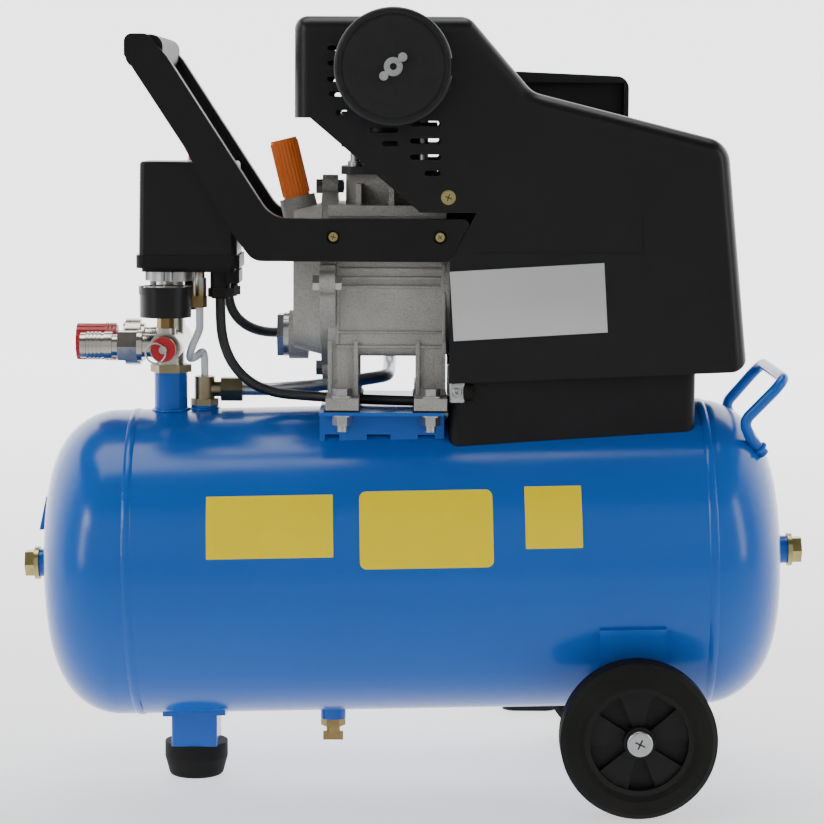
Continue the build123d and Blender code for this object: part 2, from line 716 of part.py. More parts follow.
with BuildPart() as cylinder_head:
    with BuildSketch(along_z(cylinder_x, 0, cylinder_top)) as plate:
        RectangleRounded(cylinder_flange, cylinder_flange, 10)
    extrude(plate.sketch, amount=10)
    with BuildSketch(along_z(cylinder_x, 0, cylinder_top + 10)) as crown:
        RectangleRounded(2 * head_half - 16, 2 * head_half, 8)
    extrude(crown.sketch, amount=head_top - cylinder_top - 16)
    for k in range(5):
        x = cylinder_x - 24 + 12 * k
        block((x - 1.5, -head_half, head_top - 8), (x + 1.5, head_half, head_top))
    rod(along_y(filter_x, -head_half + 2, filter_z), intake_radius + 3, 6)
    rod(along_y(filter_x, -head_half + 12, filter_z), intake_radius, 20, Mode.SUBTRACT)
    rod(along_y(cylinder_x, head_half + 6, delivery_port_z), pipe_radius + 5, 8)
    rod(along_y(cylinder_x, head_half + 7, delivery_port_z), pipe_radius + 0.1, 20, Mode.SUBTRACT)
    for dx in (-stud_offset, stud_offset):
        for dy in (-stud_offset, stud_offset):
            rod(along_z(cylinder_x + dx, dy, cylinder_top - 1), stud_radius + 0.2, 50, Mode.SUBTRACT)
            rod(along_z(cylinder_x + dx, dy, cylinder_top + 10), 8, 50, Mode.SUBTRACT)
cylinder_head.part.label = "cylinder_head"
export_step(cylinder_head.part, "parts/cylinder_head.step")

# four long studs with a nut at each end
with BuildPart() as head_studs:
    for dx in (-stud_offset, stud_offset):
        for dy in (-stud_offset, stud_offset):
            x = cylinder_x + dx
            rod(along_z(x, dy, turret_top), stud_radius, cylinder_top + 20 - turret_top)
            hexagon(along_z(x, dy, cylinder_top + 10), 11, 6)
            tube(along_z(x, dy, turret_top + 6), 5.5, stud_radius, 4)

# piston and connecting rod at the top of the stroke; they slide down together
pin_top = crank_z + crank_throw
wrist_z = pin_top + rod_length
piston_radius = bore_radius - free_clear
piston_crown = wrist_z + 24.0
piston_skirt = wrist_z - 16.0
wrist_radius = 5.0
rod_thick = 12.0
with BuildPart() as piston:
    rod(along_z(cylinder_x, 0, piston_skirt), piston_radius, piston_crown - piston_skirt)
    for z in (piston_crown - 5, piston_crown - 10):
        with BuildSketch(along_z(cylinder_x, 0, z)) as groove:
            Circle(piston_radius + 1)
            Circle(piston_radius - 1.5, mode=Mode.SUBTRACT)
        extrude(groove.sketch, amount=2, mode=Mode.SUBTRACT)
    block(
        (cylinder_x - rod_thick / 2 - 1, -piston_radius - 1, piston_skirt - 1),
        (cylinder_x + rod_thick / 2 + 1, piston_radius + 1, wrist_z + 11),
        Mode.SUBTRACT,
    )
    rod(along_x(cylinder_x - 30, 0, wrist_z), wrist_radius, 60, Mode.SUBTRACT)
piston.part.label = "piston"
export_step(piston.part, "parts/piston.step")

with BuildPart() as wrist_pin:
    rod(along_x(cylinder_x - piston_radius + 3, 0, wrist_z), wrist_radius, 2 * piston_radius - 6)

big_end = 15.0
small_end = 9.5
crank_pin_radius = 8.0
with BuildPart() as connecting_rod:
    start = cylinder_x - rod_thick / 2
    rod(along_x(start, 0, pin_top), big_end, rod_thick)
    rod(along_x(start, 0, wrist_z), small_end, rod_thick)
    with BuildSketch(along_x(start + 2, 0, 0)) as shank:
        Polygon((-8, pin_top), (8, pin_top), (6, wrist_z), (-6, wrist_z), align=None)
    extrude(shank.sketch, amount=rod_thick - 4)
    rod(along_x(start - 1, 0, pin_top), crank_pin_radius, rod_thick + 2, Mode.SUBTRACT)
    rod(along_x(start - 1, 0, wrist_z), wrist_radius, rod_thick + 2, Mode.SUBTRACT)

with BuildPart() as crank_pin:
    rod(along_x(cylinder_x - rod_thick / 2 - 2, 0, pin_top), crank_pin_radius, rod_thick + 3)

# ---------------------------------------------------------------- motor
web_left = cylinder_x + rod_thick / 2 + 2.0
web_thick = 9.0
stator_radius = 62.0
stator_right = 134.0
rotor_radius = 33.0
bell_end = 150.0
fan_left = 168.0
fan_width = 24.0
fan_radius = 58.0
shaft_end = 200.0
with BuildPart() as crank_web:
    with BuildSketch(along_x(web_left, 0, crank_z)) as web:
        Circle(22)
        with Locations((0, crank_throw)):
            Circle(13)
        with BuildLine():
            half_sweep = CenterArc((0, 0), 42, 215, 110)
            Line(half_sweep @ 0, (0, 0))
            Line(half_sweep @ 1, (0, 0))
        make_face()
    extrude(web.sketch, amount=web_thick)
    rod(along_x(web_left - 1, 0, crank_z), shaft_radius, web_thick + 2, Mode.SUBTRACT)

with BuildPart() as motor_shaft:
    rod(along_x(web_left, 0, crank_z), shaft_radius, shaft_end - web_left)

core_left = 48.0
core_right = 118.0
with BuildPart() as rotor_core:
    tube(along_x(core_left, 0, crank_z), rotor_radius, shaft_radius, core_right - core_left)

with BuildPart() as cooling_fan:
    tube(along_x(fan_left, 0, crank_z), 18, shaft_radius, fan_width)
    tube(along_x(fan_left, 0, crank_z), fan_radius, 16, 2.5)
    for k in range(9):
        with BuildSketch(along_x(fan_left + 2, 0, crank_z)) as vane:
            with Locations(Rotation(0, 0, 40 * k)):
                Polygon((16, -1), (fan_radius - 2, 7), (fan_radius - 2, 9.5), (16, 1.5), align=None)
        extrude(vane.sketch, amount=fan_width - 2)
cooling_fan.part.label = "cooling_fan"
export_step(cooling_fan.part, "parts/cooling_fan.step")

with BuildPart() as motor_stator:
    with BuildSketch(along_x(bell_right, 0, crank_z)) as lamination:
        Circle(stator_radius)
        Circle(rotor_radius + 0.5, mode=Mode.SUBTRACT)
        with PolarLocations(rotor_radius + 9, 12):
            Rectangle(12, 5, mode=Mode.SUBTRACT)
    extrude(lamination.sketch, amount=stator_right - bell_right)
motor_stator.part.label = "motor_stator"
export_step(motor_stator.part, "parts/motor_stator.step")

with BuildPart() as motor_end_bell:
    tube(along_x(stator_right, 0, crank_z), stator_radius - 1, rotor_radius + 10, bell_end - 4 - stator_right)
    tube(along_x(bell_end - 4, 0, crank_z), stator_radius - 1, shaft_radius + 3, 4)
    tube(along_x(bell_end - bearing_width - 3, 0, crank_z), bearing_outer + 4, bearing_outer, bearing_width)
motor_end_bell.part.label = "motor_end_bell"
export_step(motor_end_bell.part, "parts/motor_end_bell.step")

with BuildPart() as shaft_bearings:
    for left in (bell_right - bearing_width, bell_end - bearing_width - 4):
        tube(along_x(left, 0, crank_z), bearing_outer - 0.05, shaft_radius + run_clear, bearing_width)
shaft_bearings.part.label = "shaft_bearings"
export_step(shaft_bearings.part, "parts/shaft_bearings.step")

# ---------------------------------------------------------------- cowl, shroud, filter
cowl_left = -91.0
cowl_top = head_top + 23.0
cowl_front_z = 450.5
cowl_step_x = 26.5
cowl_right = 253.0
cowl_low_left = 321.5
cowl_low_right = 331.5
slant_bottom = (cowl_step_x, 414.0)
slant_top = (46.5, cowl_front_z)
shoulder_z = cowl_top - 56.0
brow_z = cowl_top - 93.0
open_z = cowl_top - 76.0
vent_depth = 12.0
corner_round = 10.0
low_corner = 14.0


def cowl_outline(inset):
    """Side view of the cowl; the inset copy runs out through its open underside and left edge."""
    left = cowl_left + inset
    top = cowl_top - inset
    out = 12 if inset > 0 else 0
    low_left = cowl_low_left - out
    low_right = cowl_low_right - out
    with BuildSketch(Plane.XZ) as outline:
        with BuildLine():
            FilletPolyline(
                (left, open_z - out),
                (left, top),
                (40 - inset * 0.6, top),
                (88 - inset * 0.6, shoulder_z - inset),
                (236 - inset, brow_z - inset),
                (cowl_right - inset, low_right),
                radius=[corner_round, 14, 20, 20],
            )
            Polyline(
                (cowl_right - inset, low_right),
                (cowl_step_x + inset - 2 * out, low_left),
                (cowl_step_x + inset - 2 * out, slant_bottom[1]),
                (slant_top[0] - 2 * out, slant_top[1] - out),
                (4, cowl_front_z - out),
                (-79 + inset, open_z - out),
                (left, open_z - out),
            )
        make_face()
    return outline.sketch


vents = (
    (-4, 517, 23),
    (-4, 504, 23),
    (-4, 492, 23),
    (7, 480, 12),
    (-35, 512, 22),
    (-25, 502, 12),
    (-66, 573, 8),
    (-66, 562, 9),
    (-66, 550, 9),
    (-65, 539, 11),
    (-60, 525, 9),
)
cowl_screw_x = 25.0
cowl_screw_z = 462.0


def rounded_shell(inset):
    """Cowl's solid form, its long edges rounded; the inset copy is the room inside it."""
    reach = cowl_half - inset
    extrude(cowl_outline(inset), amount=reach, both=True)
    rim_edges = [e for e in edges() if abs(abs(e.center().Y) - reach) < 0.01]
    top_edges = [e for e in rim_edges if e.center().Z > open_z + 1]
    end_edges = [e for e in rim_edges if e.center().X > cowl_right - 50 and cowl_low_right < e.center().Z < open_z]
    fillet(top_edges + end_edges, radius=cowl_round - inset)


seam_slope = (cowl_low_right - cowl_low_left) / (cowl_right - cowl_step_x)
panel_low = 420.5
panel_high = 448.5
with BuildPart() as cowl_room:
    rounded_shell(cowl_wall)

with BuildPart() as motor_cowl:
    rounded_shell(0)
    add(cowl_room.part, mode=Mode.SUBTRACT)
    # rounded lower corner, and the shallow panel pressed into each side
    corner_z = cowl_low_right - low_corner * seam_slope
    with BuildSketch(Plane.XZ) as corner:
        with Locations((cowl_right - low_corner / 2 + 1, corner_z + low_corner / 2 - 1)):
            Rectangle(low_corner + 2, low_corner + 2)
        with Locations((cowl_right - low_corner, corner_z + low_corner)):
            Circle(low_corner, mode=Mode.SUBTRACT)
    extrude(corner.sketch, amount=cowl_half + 1, both=True, mode=Mode.SUBTRACT)
    for side in (-1, 1):
        ys = sorted((side * (cowl_half - 0.8), side * (cowl_half + 1)))
        block((46, ys[0], panel_low), (172, ys[1], panel_high), Mode.SUBTRACT)
    for vent in vents:
        with BuildSketch(Plane.XZ) as slot:
            with Locations((vent[0] + vent[2] / 2, vent[1])):
                SlotOverall(vent[2], 4)
        extrude(slot.sketch, amount=cowl_half + 1, both=True, mode=Mode.SUBTRACT)
    for k in range(6):
        block(
            (cowl_right - 25, -vent_depth * 4, 356 + 20 * k),
            (cowl_right + 5, vent_depth * 4, 364 + 20 * k),
            Mode.SUBTRACT,
        )
    rod(along_y(filter_x, -cowl_half + 10, filter_z), intake_radius + 4, 20, Mode.SUBTRACT)
    rod(along_y(cylinder_x, cowl_half + 10, delivery_port_z), pipe_radius + 2, 20, Mode.SUBTRACT)
    for side in (-1, 1):
        rod(along_y(cowl_screw_x, side * cowl_half + 10, cowl_screw_z), 3.2, 20, Mode.SUBTRACT)
motor_cowl.part.label = "motor_cowl"
export_step(motor_cowl.part, "parts/motor_cowl.step")

# lower shroud: open frame between cowl and tank, narrower towards the wheels
shroud_left = cowl_step_x
shroud_right = 215.0
shroud_half_left = 73.0
shroud_half_right = 62.0
lead_hole_y = -36.0
lead_radius = 4.0
lead_z = saddle_top + lead_radius + 0.1


def shroud_plan(inset):
    """Plan of the lower shroud."""
    with BuildSketch(Plane.XY.offset(tank_axis_z)) as plan:
        with BuildLine():
            Polyline(
                (shroud_left + inset, -shroud_half_left + inset),
                (shroud_right - inset, -shroud_half_right + inset),
                (shroud_right - inset, shroud_half_right - inset),
                (shroud_left + inset, shroud_half_left - inset),
                (shroud_left + inset, -shroud_half_left + inset),
            )
        make_face()
        fillet(vertices(), radius=8 - inset)
    return plan.sketch


with BuildPart() as lower_shroud:
    extrude(shroud_plan(0), amount=cowl_low_right + 20 - tank_axis_z)
    with BuildSketch(Plane.XZ) as above:
        Polygon(
            (cowl_step_x - 10, cowl_low_left - 10 * seam_slope - 0.5),
            (cowl_right, cowl_low_right - 0.5),
            (cowl_right, cowl_low_right + 60),
            (cowl_step_x - 10, cowl_low_right + 60),
            align=None,
        )
    extrude(above.sketch, amount=cowl_half + 20, both=True, mode=Mode.SUBTRACT)
    extrude(shroud_plan(shroud_wall), amount=cowl_low_right + 20 - tank_axis_z, mode=Mode.SUBTRACT)
    add(envelope.part, mode=Mode.SUBTRACT)
    rod(along_x(shroud_left - 5, lead_hole_y, lead_z), lead_radius + 0.5, 12, Mode.SUBTRACT)
lower_shroud.part.label = "lower_shroud"
export_step(lower_shroud.part, "parts/lower_shroud.step")

# capacitor and its moulded cover on the back of the cowl
cap_left = 76.0
cap_right = 172.0
cap_low = 520.0
cap_high = 559.0
with BuildPart() as capacitor_cover:
    with BuildSketch(Plane.XZ.offset(-cowl_half - 28)) as outline:
        with BuildLine():
            FilletPolyline(
                (cap_left, 470),
                (cap_left, cap_high),
                (cap_right, cap_high - 4),
                (cap_right, 470),
                radius=[6, 10],
            )
            Line((cap_right, 470), (cap_left, 470))
        make_face()
    extrude(outline.sketch, amount=28)
    fillet(faces().sort_by(Axis.Y)[-1].edges(), radius=4)
    block((cap_left + 4, cowl_half - 1, 474), (cap_right - 4, cowl_half + 24, cap_high - 9), Mode.SUBTRACT)

with BuildPart() as capacitor:
    rod(along_x(cap_left + 8, cowl_half + 11.5, 500), 11.5, cap_right - cap_left - 16)

# strap over the crankcase that the cowl is screwed to
bracket_ear = 2.0
with BuildPart() as cowl_bracket:
    ear = cowl_half - cowl_wall
    block((cowl_screw_x - 10, -ear, case_top), (cowl_screw_x - 5, ear, case_top + bracket_ear))
    for side in (-1, 1):
        ys = sorted((side * (ear - bracket_ear), side * ear))
        block((cowl_screw_x - 10, ys[0], case_top), (cowl_screw_x + 7, ys[1], cowl_screw_z + 8))
        rod(along_y(cowl_screw_x, side * ear + 5, cowl_screw_z), 2.6, 10, Mode.SUBTRACT)
cowl_bracket.part.label = "cowl_bracket"
export_step(cowl_bracket.part, "parts/cowl_bracket.step")

with BuildPart() as cowl_screws:
    for side in (-1, 1):
        out = Plane(origin=(cowl_screw_x, side * cowl_half, cowl_screw_z), x_dir=(1, 0, 0), z_dir=(0, side, 0))
        rod(out, 5.5, 1.2)
        hexagon(out.offset(1.2), 8, 3.5)
        rod(out.offset(-cowl_wall - bracket_ear - 4), 2.5, cowl_wall + bracket_ear + 4)

# intake: tube from the head through the cowl, filter base, foam ring, cap, stud and wing nut
base_front = cowl_half + 8.0
cap_depth = 37.0
cap_front = base_front + cap_depth
stud_small = 2.5
wing_span = 19.4
with BuildPart() as intake_tube:
    tube(along_y(filter_x, -head_half - 4, filter_z), intake_radius + 3, intake_radius, cowl_half - head_half - 4)

with BuildPart() as filter_base:
    rod(along_y(filter_x, -cowl_half, filter_z), filter_radius - 3, base_front - cowl_half)
    rod(along_y(filter_x, -cowl_half - 3, filter_z), filter_radius, 3)
    with BuildSketch(along_y(filter_x, -cowl_half + 1, filter_z)) as ports:
        with PolarLocations(intake_radius - 3.5, 4):
            Circle(3)
    extrude(ports.sketch, amount=20, mode=Mode.SUBTRACT)

with BuildPart() as filter_element:
    tube(along_y(filter_x, -base_front, filter_z), filter_radius - 6, intake_radius + 4, cap_depth - 6)
filter_element.part.label = "filter_element"
export_step(filter_element.part, "parts/filter_element.step")

with BuildPart() as filter_cap:
    rod(along_y(filter_x, -base_front, filter_z), filter_radius, cap_depth)
    fillet(edges().filter_by(GeomType.CIRCLE).sort_by(Axis.Y)[0], radius=3)
    rod(along_y(filter_x, -base_front + 1, filter_z), filter_radius - 3, cap_depth - 3, Mode.SUBTRACT)
    rod(along_y(filter_x, -cap_front + 5, filter_z), stud_small + free_clear, 10, Mode.SUBTRACT)
    with BuildSketch(along_y(filter_x, -cap_front + 1.2, filter_z)) as ring:
        Circle(filter_radius - 5)
        Circle(filter_radius - 6.5, mode=Mode.SUBTRACT)
    extrude(ring.sketch, amount=5, mode=Mode.SUBTRACT)
    with BuildSketch(along_y(filter_x, -cap_front + 8, filter_z)) as notch:
        with Locations((filter_radius + 1, 0)):
            Rectangle(5, 13)
    extrude(notch.sketch, amount=12, mode=Mode.SUBTRACT)
filter_cap.part.label = "filter_cap"
export_step(filter_cap.part, "parts/filter_cap.step")

with BuildPart() as filter_stud:
    rod(along_y(filter_x, -base_front, filter_z), stud_small, cap_depth + 10)

with BuildPart() as wing_nut:
    rod(along_y(filter_x, -cap_front, filter_z), 6.9, 2)
    rod(along_y(filter_x, -cap_front - 2, filter_z), 5.4, 5)
    with BuildSketch(along_y(filter_x, -cap_front - 2, filter_z)) as wings:
        with Locations(Rotation(0, 0, 45)):
            Rectangle(wing_span, 3)
    extrude(wings.sketch, amount=6)
    for turn in (45, 225):
        lobe = (filter_x + wing_span / 2 * cos(radians(turn)), filter_z + wing_span / 2 * sin(radians(turn)))
        rod(along_y(lobe[0], -cap_front - 3, lobe[1]), 3.3, 7)
    rod(along_y(filter_x, -cap_front + 1, filter_z), stud_small + run_clear, 20, Mode.SUBTRACT)
wing_nut.part.label = "wing_nut"
export_step(wing_nut.part, "parts/wing_nut.step")

# ---------------------------------------------------------------- carry handle
grip_left = -218.0
arm_wall = 3.0


def arm_outline(inset):
    """Side view of a handle arm: level foot along the pump, long slanted reach to the grip."""
    with BuildSketch(Plane.XZ) as outline:
        with BuildLine():
            FilletPolyline(
                (grip_left, 575),
                (grip_left, 583),
                (-201, 583),
                (-186, 566),
                (-133, 484),
                (-108, 445.5),
                (43.5, 445.5),
                (25.5, 413.5),
                (-122, 413.5),
                (-140, 438),
                (-174, 500),
                (grip_left, 567),
                (grip_left, 574),
                radius=[6, 6, 6, 40, 24, 4, 4, 14, 60, 60, 3],
            )
            Line((grip_left, 574), (grip_left, 575))
        make_face()
        if inset > 0:
            offset(amount=-inset, kind=Kind.INTERSECTION, mode=Mode.REPLACE)
    return outline.sketch


with BuildPart() as carry_handle:
    for side in (-1, 1):
        extrude(arm_outline(0), amount=-side * arm_outer)
    block((-230, -arm_outer + arm_depth, 400), (60, arm_outer - arm_depth, 600), Mode.SUBTRACT)
    for side in (-1, 1):
        ys = sorted((side * (arm_outer - arm_depth - 1), side * (arm_outer - arm_wall)))
        pocket = arm_outline(arm_wall)
        extrude(pocket.moved(Location((0, ys[1], 0))), amount=ys[1] - ys[0], mode=Mode.SUBTRACT)
        for point in screw_points:
            post = Plane(origin=(point[0], side * (arm_outer - arm_depth), point[1]), z_dir=(0, side, 0))
            rod(post, 8, arm_depth - 1)
            rod(post.offset(-1), 2.8, arm_depth + 2, Mode.SUBTRACT)
            rod(post.offset(arm_depth - 4), 5.2, 6, Mode.SUBTRACT)
        for x in (-94, -28):
            ys = sorted((side * (arm_outer - arm_depth), side * (arm_outer - 1)))
            block((x - 1.2, ys[0], 415), (x + 1.2, ys[1], 445))
    grip = Plane(origin=(-203.5, arm_outer - 6, 570), x_dir=(1, 0, 0), z_dir=(0, -1, 0))
    with BuildSketch(grip) as bar:
        RectangleRounded(28, 25, 9)
    extrude(bar.sketch, amount=2 * (arm_outer - 6))
carry_handle.part.label = "carry_handle"
export_step(carry_handle.part, "parts/carry_handle.step")

with BuildPart() as handle_screws:
    for point in screw_points:
        for side in (-1, 1):
            head = Plane(origin=(point[0], side * (arm_outer - 4), point[1]), z_dir=(0, side, 0))
            rod(head, 3.4, 3)
            rod(head.offset(-arm_depth - 6), 2.5, arm_depth + 6)

# ---------------------------------------------------------------- air fittings
check_z = 305.0
check_body = 8.0
unloader_x = -167.0
unloader_y = -16.0
small_pipe = 3.0
check_top = 318.0
check_neck = 13.0
with BuildPart() as check_valve:
    hexagon(along_z(check_x, check_y, check_boss_top), 19, 5, check_bore - 0.5)
    tube(along_z(check_x, check_y, check_boss_top + 5), check_body, small_pipe + 0.2, check_top - check_boss_top - 5)
    rod(along_x(check_x, check_y, check_z + 3), 6, check_neck)
    rod(along_z(check_x, check_y, check_boss_top - 12), check_bore - 0.1, 14)
    rod(along_z(check_x, check_y, check_top - 10), small_pipe + 0.2, 20, Mode.SUBTRACT)


def bend_radii(points, limit):
    """Arc at each corner of a route: as large as the two runs allow, up to a limit."""
    radii = []
    for k in range(1, len(points) - 1):
        before = Vector(*points[k]) - Vector(*points[k - 1])
        after = Vector(*points[k + 1]) - Vector(*points[k])
        half_turn = radians(before.get_angle(after)) / 2
        radii.append(min(limit, 0.45 * min(before.length, after.length) / tan(half_turn)))
    return radii


def pipe(points, radius, limit):
    """Round tube along a route of straight runs and tangent arcs."""
    radii = bend_radii(points, limit)
    with BuildLine() as spine:
        FilletPolyline(*points, radius=radii)
    route = spine.wire()
    with BuildSketch(Plane(origin=route @ 0, z_dir=route % 0)) as section:
        Circle(radius)
    sweep(section.sketch, path=route)
    return route.length, radii


# delivery pipe: under the pump, out between the rear feet and up to the head
nut_left = check_x + check_neck
nut_length = 17.0
pipe_back = 92.0
delivery_route = (
    (nut_left + nut_length, check_y, check_z + 3),
    (-112, check_y, check_z + 3),
    (-80, 13, 310),
    (-45, 20, 314),
    (-21, 40, 316),
    (cylinder_x, pipe_back - 12, 319),
    (cylinder_x, pipe_back, 345),
    (cylinder_x + 0.5, pipe_back, 450),
    (cylinder_x, pipe_back, delivery_port_z),
    (cylinder_x, head_half + 8, delivery_port_z),
)
with BuildPart() as delivery_pipe:
    pipe(delivery_route, pipe_radius, 22)

with BuildPart() as delivery_nuts:
    hexagon(along_x(nut_left, check_y, check_z + 3), 18, nut_length)
    hexagon(along_y(cylinder_x, head_half + 20, delivery_port_z), 18, 12, pipe_radius + 0.1)

# unloader tube from the switch down to the check valve
unloader_low = 374.0
unloader_route = (
    (unloader_x, unloader_y, unloader_low),
    (unloader_x, unloader_y, 357),
    (-174, -16, 341),
    (-176, -9, 333),
    (-172, 0, 333),
    (-166, 5.5, 339),
    (check_x, check_y, 331),
    (check_x, check_y, check_top),
)
with BuildPart() as unloader_tube:
    pipe(unloader_route, small_pipe, 14)

with BuildPart() as unloader_valve:
    rod(along_z(unloader_x, unloader_y, switch_base_z - 5), 4, 5)
    rod(along_z(unloader_x, unloader_y, unloader_low + 9), 5.2, switch_base_z - 5 - unloader_low - 9)
    hexagon(along_z(unloader_x, unloader_y, unloader_low), 10, 9)

# manifold: upright through the riser nut to the switch, cross bar with outlets and gauge bosses
column_radius = 11.0
bar_radius = 12.0
bar_half = 52.0
nut_low = riser_top
nut_high = riser_top + 6.0
flange_low = switch_base_z - 8.0
gauge_seat = 360.0
coupler_hex_left = -229.0
outlet_face = -210.0
regulator_face = -214.0
with BuildPart() as manifold:
    rod(along_z(riser_x, 0, nut_high), column_radius, flange_low - nut_high)
    rod(along_z(riser_x, 0, riser_top), column_radius - 2.5, 8)
    rod(along_y(riser_x, bar_half, manifold_z), bar_radius, 2 * bar_half)
    for side in (-1, 1):
        rod(along_z(riser_x, side * gauge_y, manifold_z), 7.5, gauge_seat - manifold_z)
    rod(along_x(riser_x, -outlet_y, manifold_z), 9, outlet_face - riser_x)
    rod(along_x(riser_x, outlet_y, manifold_z), 10, regulator_face - riser_x)
    rod(along_z(riser_x, 0, riser_top - 1), 6, flange_low - riser_top - 10, Mode.SUBTRACT)
    rod(along_y(riser_x, bar_half - 8, manifold_z), 6, 2 * bar_half - 16, Mode.SUBTRACT)
manifold.part.label = "manifold"
export_step(manifold.part, "parts/manifold.step")

with BuildPart() as riser_nut:
    hexagon(along_z(riser_x, 0, nut_low), 28, nut_high - nut_low, column_radius - 2.4)

# quick coupler: fixed core with its hexagon, and the sliding sleeve
coupler_end = -258.0
coupler_bore = 5.2
core_radius = 8.4
sleeve_radius = 10.5
sleeve_left = -253.0
sleeve_right = -233.5
sleeve_travel = 3.5
with BuildPart() as coupler_body:
    rod(along_x(outlet_face, -outlet_y, manifold_z), 12, -4)
    hexagon(along_x(outlet_face - 4, -outlet_y, manifold_z), 22, coupler_hex_left - outlet_face + 4)
    rod(along_x(coupler_hex_left, -outlet_y, manifold_z), core_radius, coupler_end - coupler_hex_left)
    rod(along_x(coupler_end, -outlet_y, manifold_z), 9.6, sleeve_left - 0.5 - coupler_end)
    rod(along_x(coupler_end - 1, -outlet_y, manifold_z), coupler_bore, 31, Mode.SUBTRACT)
coupler_body.part.label = "coupler_body"
export_step(coupler_body.part, "parts/coupler_body.step")

with BuildPart() as coupler_sleeve:
    tube(along_x(sleeve_left, -outlet_y, manifold_z), sleeve_radius - 0.8, core_radius + run_clear, 19.5)
    for k in range(4):
        tube(along_x(sleeve_left + 3 * k, -outlet_y, manifold_z), sleeve_radius, core_radius + 0.5, 1.8)
    tube(along_x(sleeve_right - 6, -outlet_y, manifold_z), sleeve_radius, core_radius + 0.5, 6)
coupler_sleeve.part.label = "coupler_sleeve"
export_step(coupler_sleeve.part, "parts/coupler_sleeve.step")

# regulator: spring bonnet on the second outlet and its red hand knob
bonnet_left = -231.0
knob_right = -236.0
knob_left = -268.0
knob_radius = 14.5
spindle_radius = 4.0
with BuildPart() as regulator_bonnet:
    rod(along_x(regulator_face, outlet_y, manifold_z - 2), 15, -3)
    rod(along_x(regulator_face - 3, outlet_y, manifold_z - 2), 18.5, bonnet_left + 2 - regulator_face + 3)
    rod(along_x(bonnet_left + 2, outlet_y, manifold_z - 2), 15.5, -2)
    rod(along_x(bonnet_left, outlet_y, manifold_z - 2), 9, knob_right + 0.4 - bonnet_left)
    rod(along_x(bonnet_left - 8, outlet_y, manifold_z - 2), spindle_radius + run_clear, 22, Mode.SUBTRACT)
regulator_bonnet.part.label = "regulator_bonnet"
export_step(regulator_bonnet.part, "parts/regulator_bonnet.step")

with BuildPart() as regulator_knob:
    with BuildSketch(along_x(knob_left, outlet_y, manifold_z - 2)) as grip:
        Circle(knob_radius - 0.8)
        with PolarLocations(knob_radius - 1.5, 16):
            Circle(1.5)
    extrude(grip.sketch, amount=knob_right - 9 - knob_left)
    for k in range(3):
        rod(along_x(knob_right - 9 + 3 * k, outlet_y, manifold_z - 2), knob_radius + 0.5, 2)
    rod(along_x(knob_right - 9, outlet_y, manifold_z - 2), knob_radius - 1, 9)
    rod(along_x(knob_right, outlet_y, manifold_z - 2), spindle_radius, 16)
regulator_knob.part.label = "regulator_knob"
export_step(regulator_knob.part, "parts/regulator_knob.step")

# safety valve on the front end of the bar: hexagon body, red cap, sprung stem with its ring
valve_body = 9.0
cap_front_y = -bar_half - valve_body - 5.0
cap_radius = 9.5
stem_small = 1.8
with BuildPart() as safety_valve:
    hexagon(along_y(riser_x, -bar_half, manifold_z), 15, valve_body, stem_small + free_clear)

with BuildPart() as safety_cap:
    tube(along_y(riser_x, -bar_half - valve_body, manifold_z), cap_radius, stem_small + free_clear, 5)

ring_wire = 0.7
ring_loop = 7.5
with BuildPart() as safety_ring:
    rod(along_y(riser_x, -bar_half - 1, manifold_z), stem_small, valve_body + 5 + 4)
    rod(along_y(riser_x, cap_front_y - 0.5, manifold_z), 3, 3)
    with BuildLine() as loop:
        CenterArc((0, 0), ring_loop, 0, 360)
    wire_plane = Plane(
        origin=(riser_x - ring_loop + 2, cap_front_y - 3, manifold_z - 2.5), x_dir=(1, 0, 0), z_dir=(0, -1, 0)
    )
    ring_start = wire_plane.from_local_coords((ring_loop, 0, 0))
    with BuildSketch(Plane(origin=ring_start, x_dir=(1, 0, 0), z_dir=(0, 0, 1))) as wire:
        Circle(ring_wire)
    revolve(wire.sketch, axis=Axis(wire_plane.origin, (0, 1, 0)))
safety_ring.part.label = "safety_ring"
export_step(safety_ring.part, "parts/safety_ring.step")

# two pressure gauges, dial up, on the bar's bosses
gauge_low = 368.5
gauge_top = 392.0
dial_z = 387.0
needle_z = 388.2
lens_z = 390.0
gauge_sides = (-1, 1)
with BuildPart() as gauge_cases:
    for side in gauge_sides:
        rod(along_z(riser_x, side * gauge_y, gauge_low), gauge_radius - 0.8, gauge_top - gauge_low - 4)
        rod(along_z(riser_x, side * gauge_y, gauge_top - 6), gauge_radius, 6)
        rod(along_z(riser_x, side * gauge_y, dial_z - 1), gauge_radius - 1.6, 20, Mode.SUBTRACT)

with BuildPart() as gauge_stems:
    for side in gauge_sides:
        hexagon(along_z(riser_x, side * gauge_y, gauge_seat), 11, gauge_low - gauge_seat)

with BuildPart() as gauge_dials:
    for side in gauge_sides:
        rod(along_z(riser_x, side * gauge_y, dial_z - 1), gauge_radius - 1.7, 1)
        rod(along_z(riser_x, side * gauge_y, dial_z), 1, 2.2)

with BuildPart() as gauge_lenses:
    for side in gauge_sides:
        rod(along_z(riser_x, side * gauge_y, lens_z), gauge_radius - 1.7, 1.5)
gauge_lenses.part.label = "gauge_lenses"
export_step(gauge_lenses.part, "parts/gauge_lenses.step")


def build_needle(side):
    """Pointer that swings round the dial's post, at its zero mark."""
    with BuildSketch(along_z(riser_x, side * gauge_y, needle_z)) as pointer:
        with Locations(Rotation(0, 0, 225)):
            Polygon((-5, -1.2), (15, -0.35), (15, 0.35), (-5, 1.2), align=None)
        Circle(2.4)
        Circle(1 + run_clear, mode=Mode.SUBTRACT)
    extrude(pointer.sketch, amount=0.6)


with BuildPart() as needle_front:
    build_needle(-1)
needle_front.part.label = "needle_front"
export_step(needle_front.part, "parts/needle_front.step")

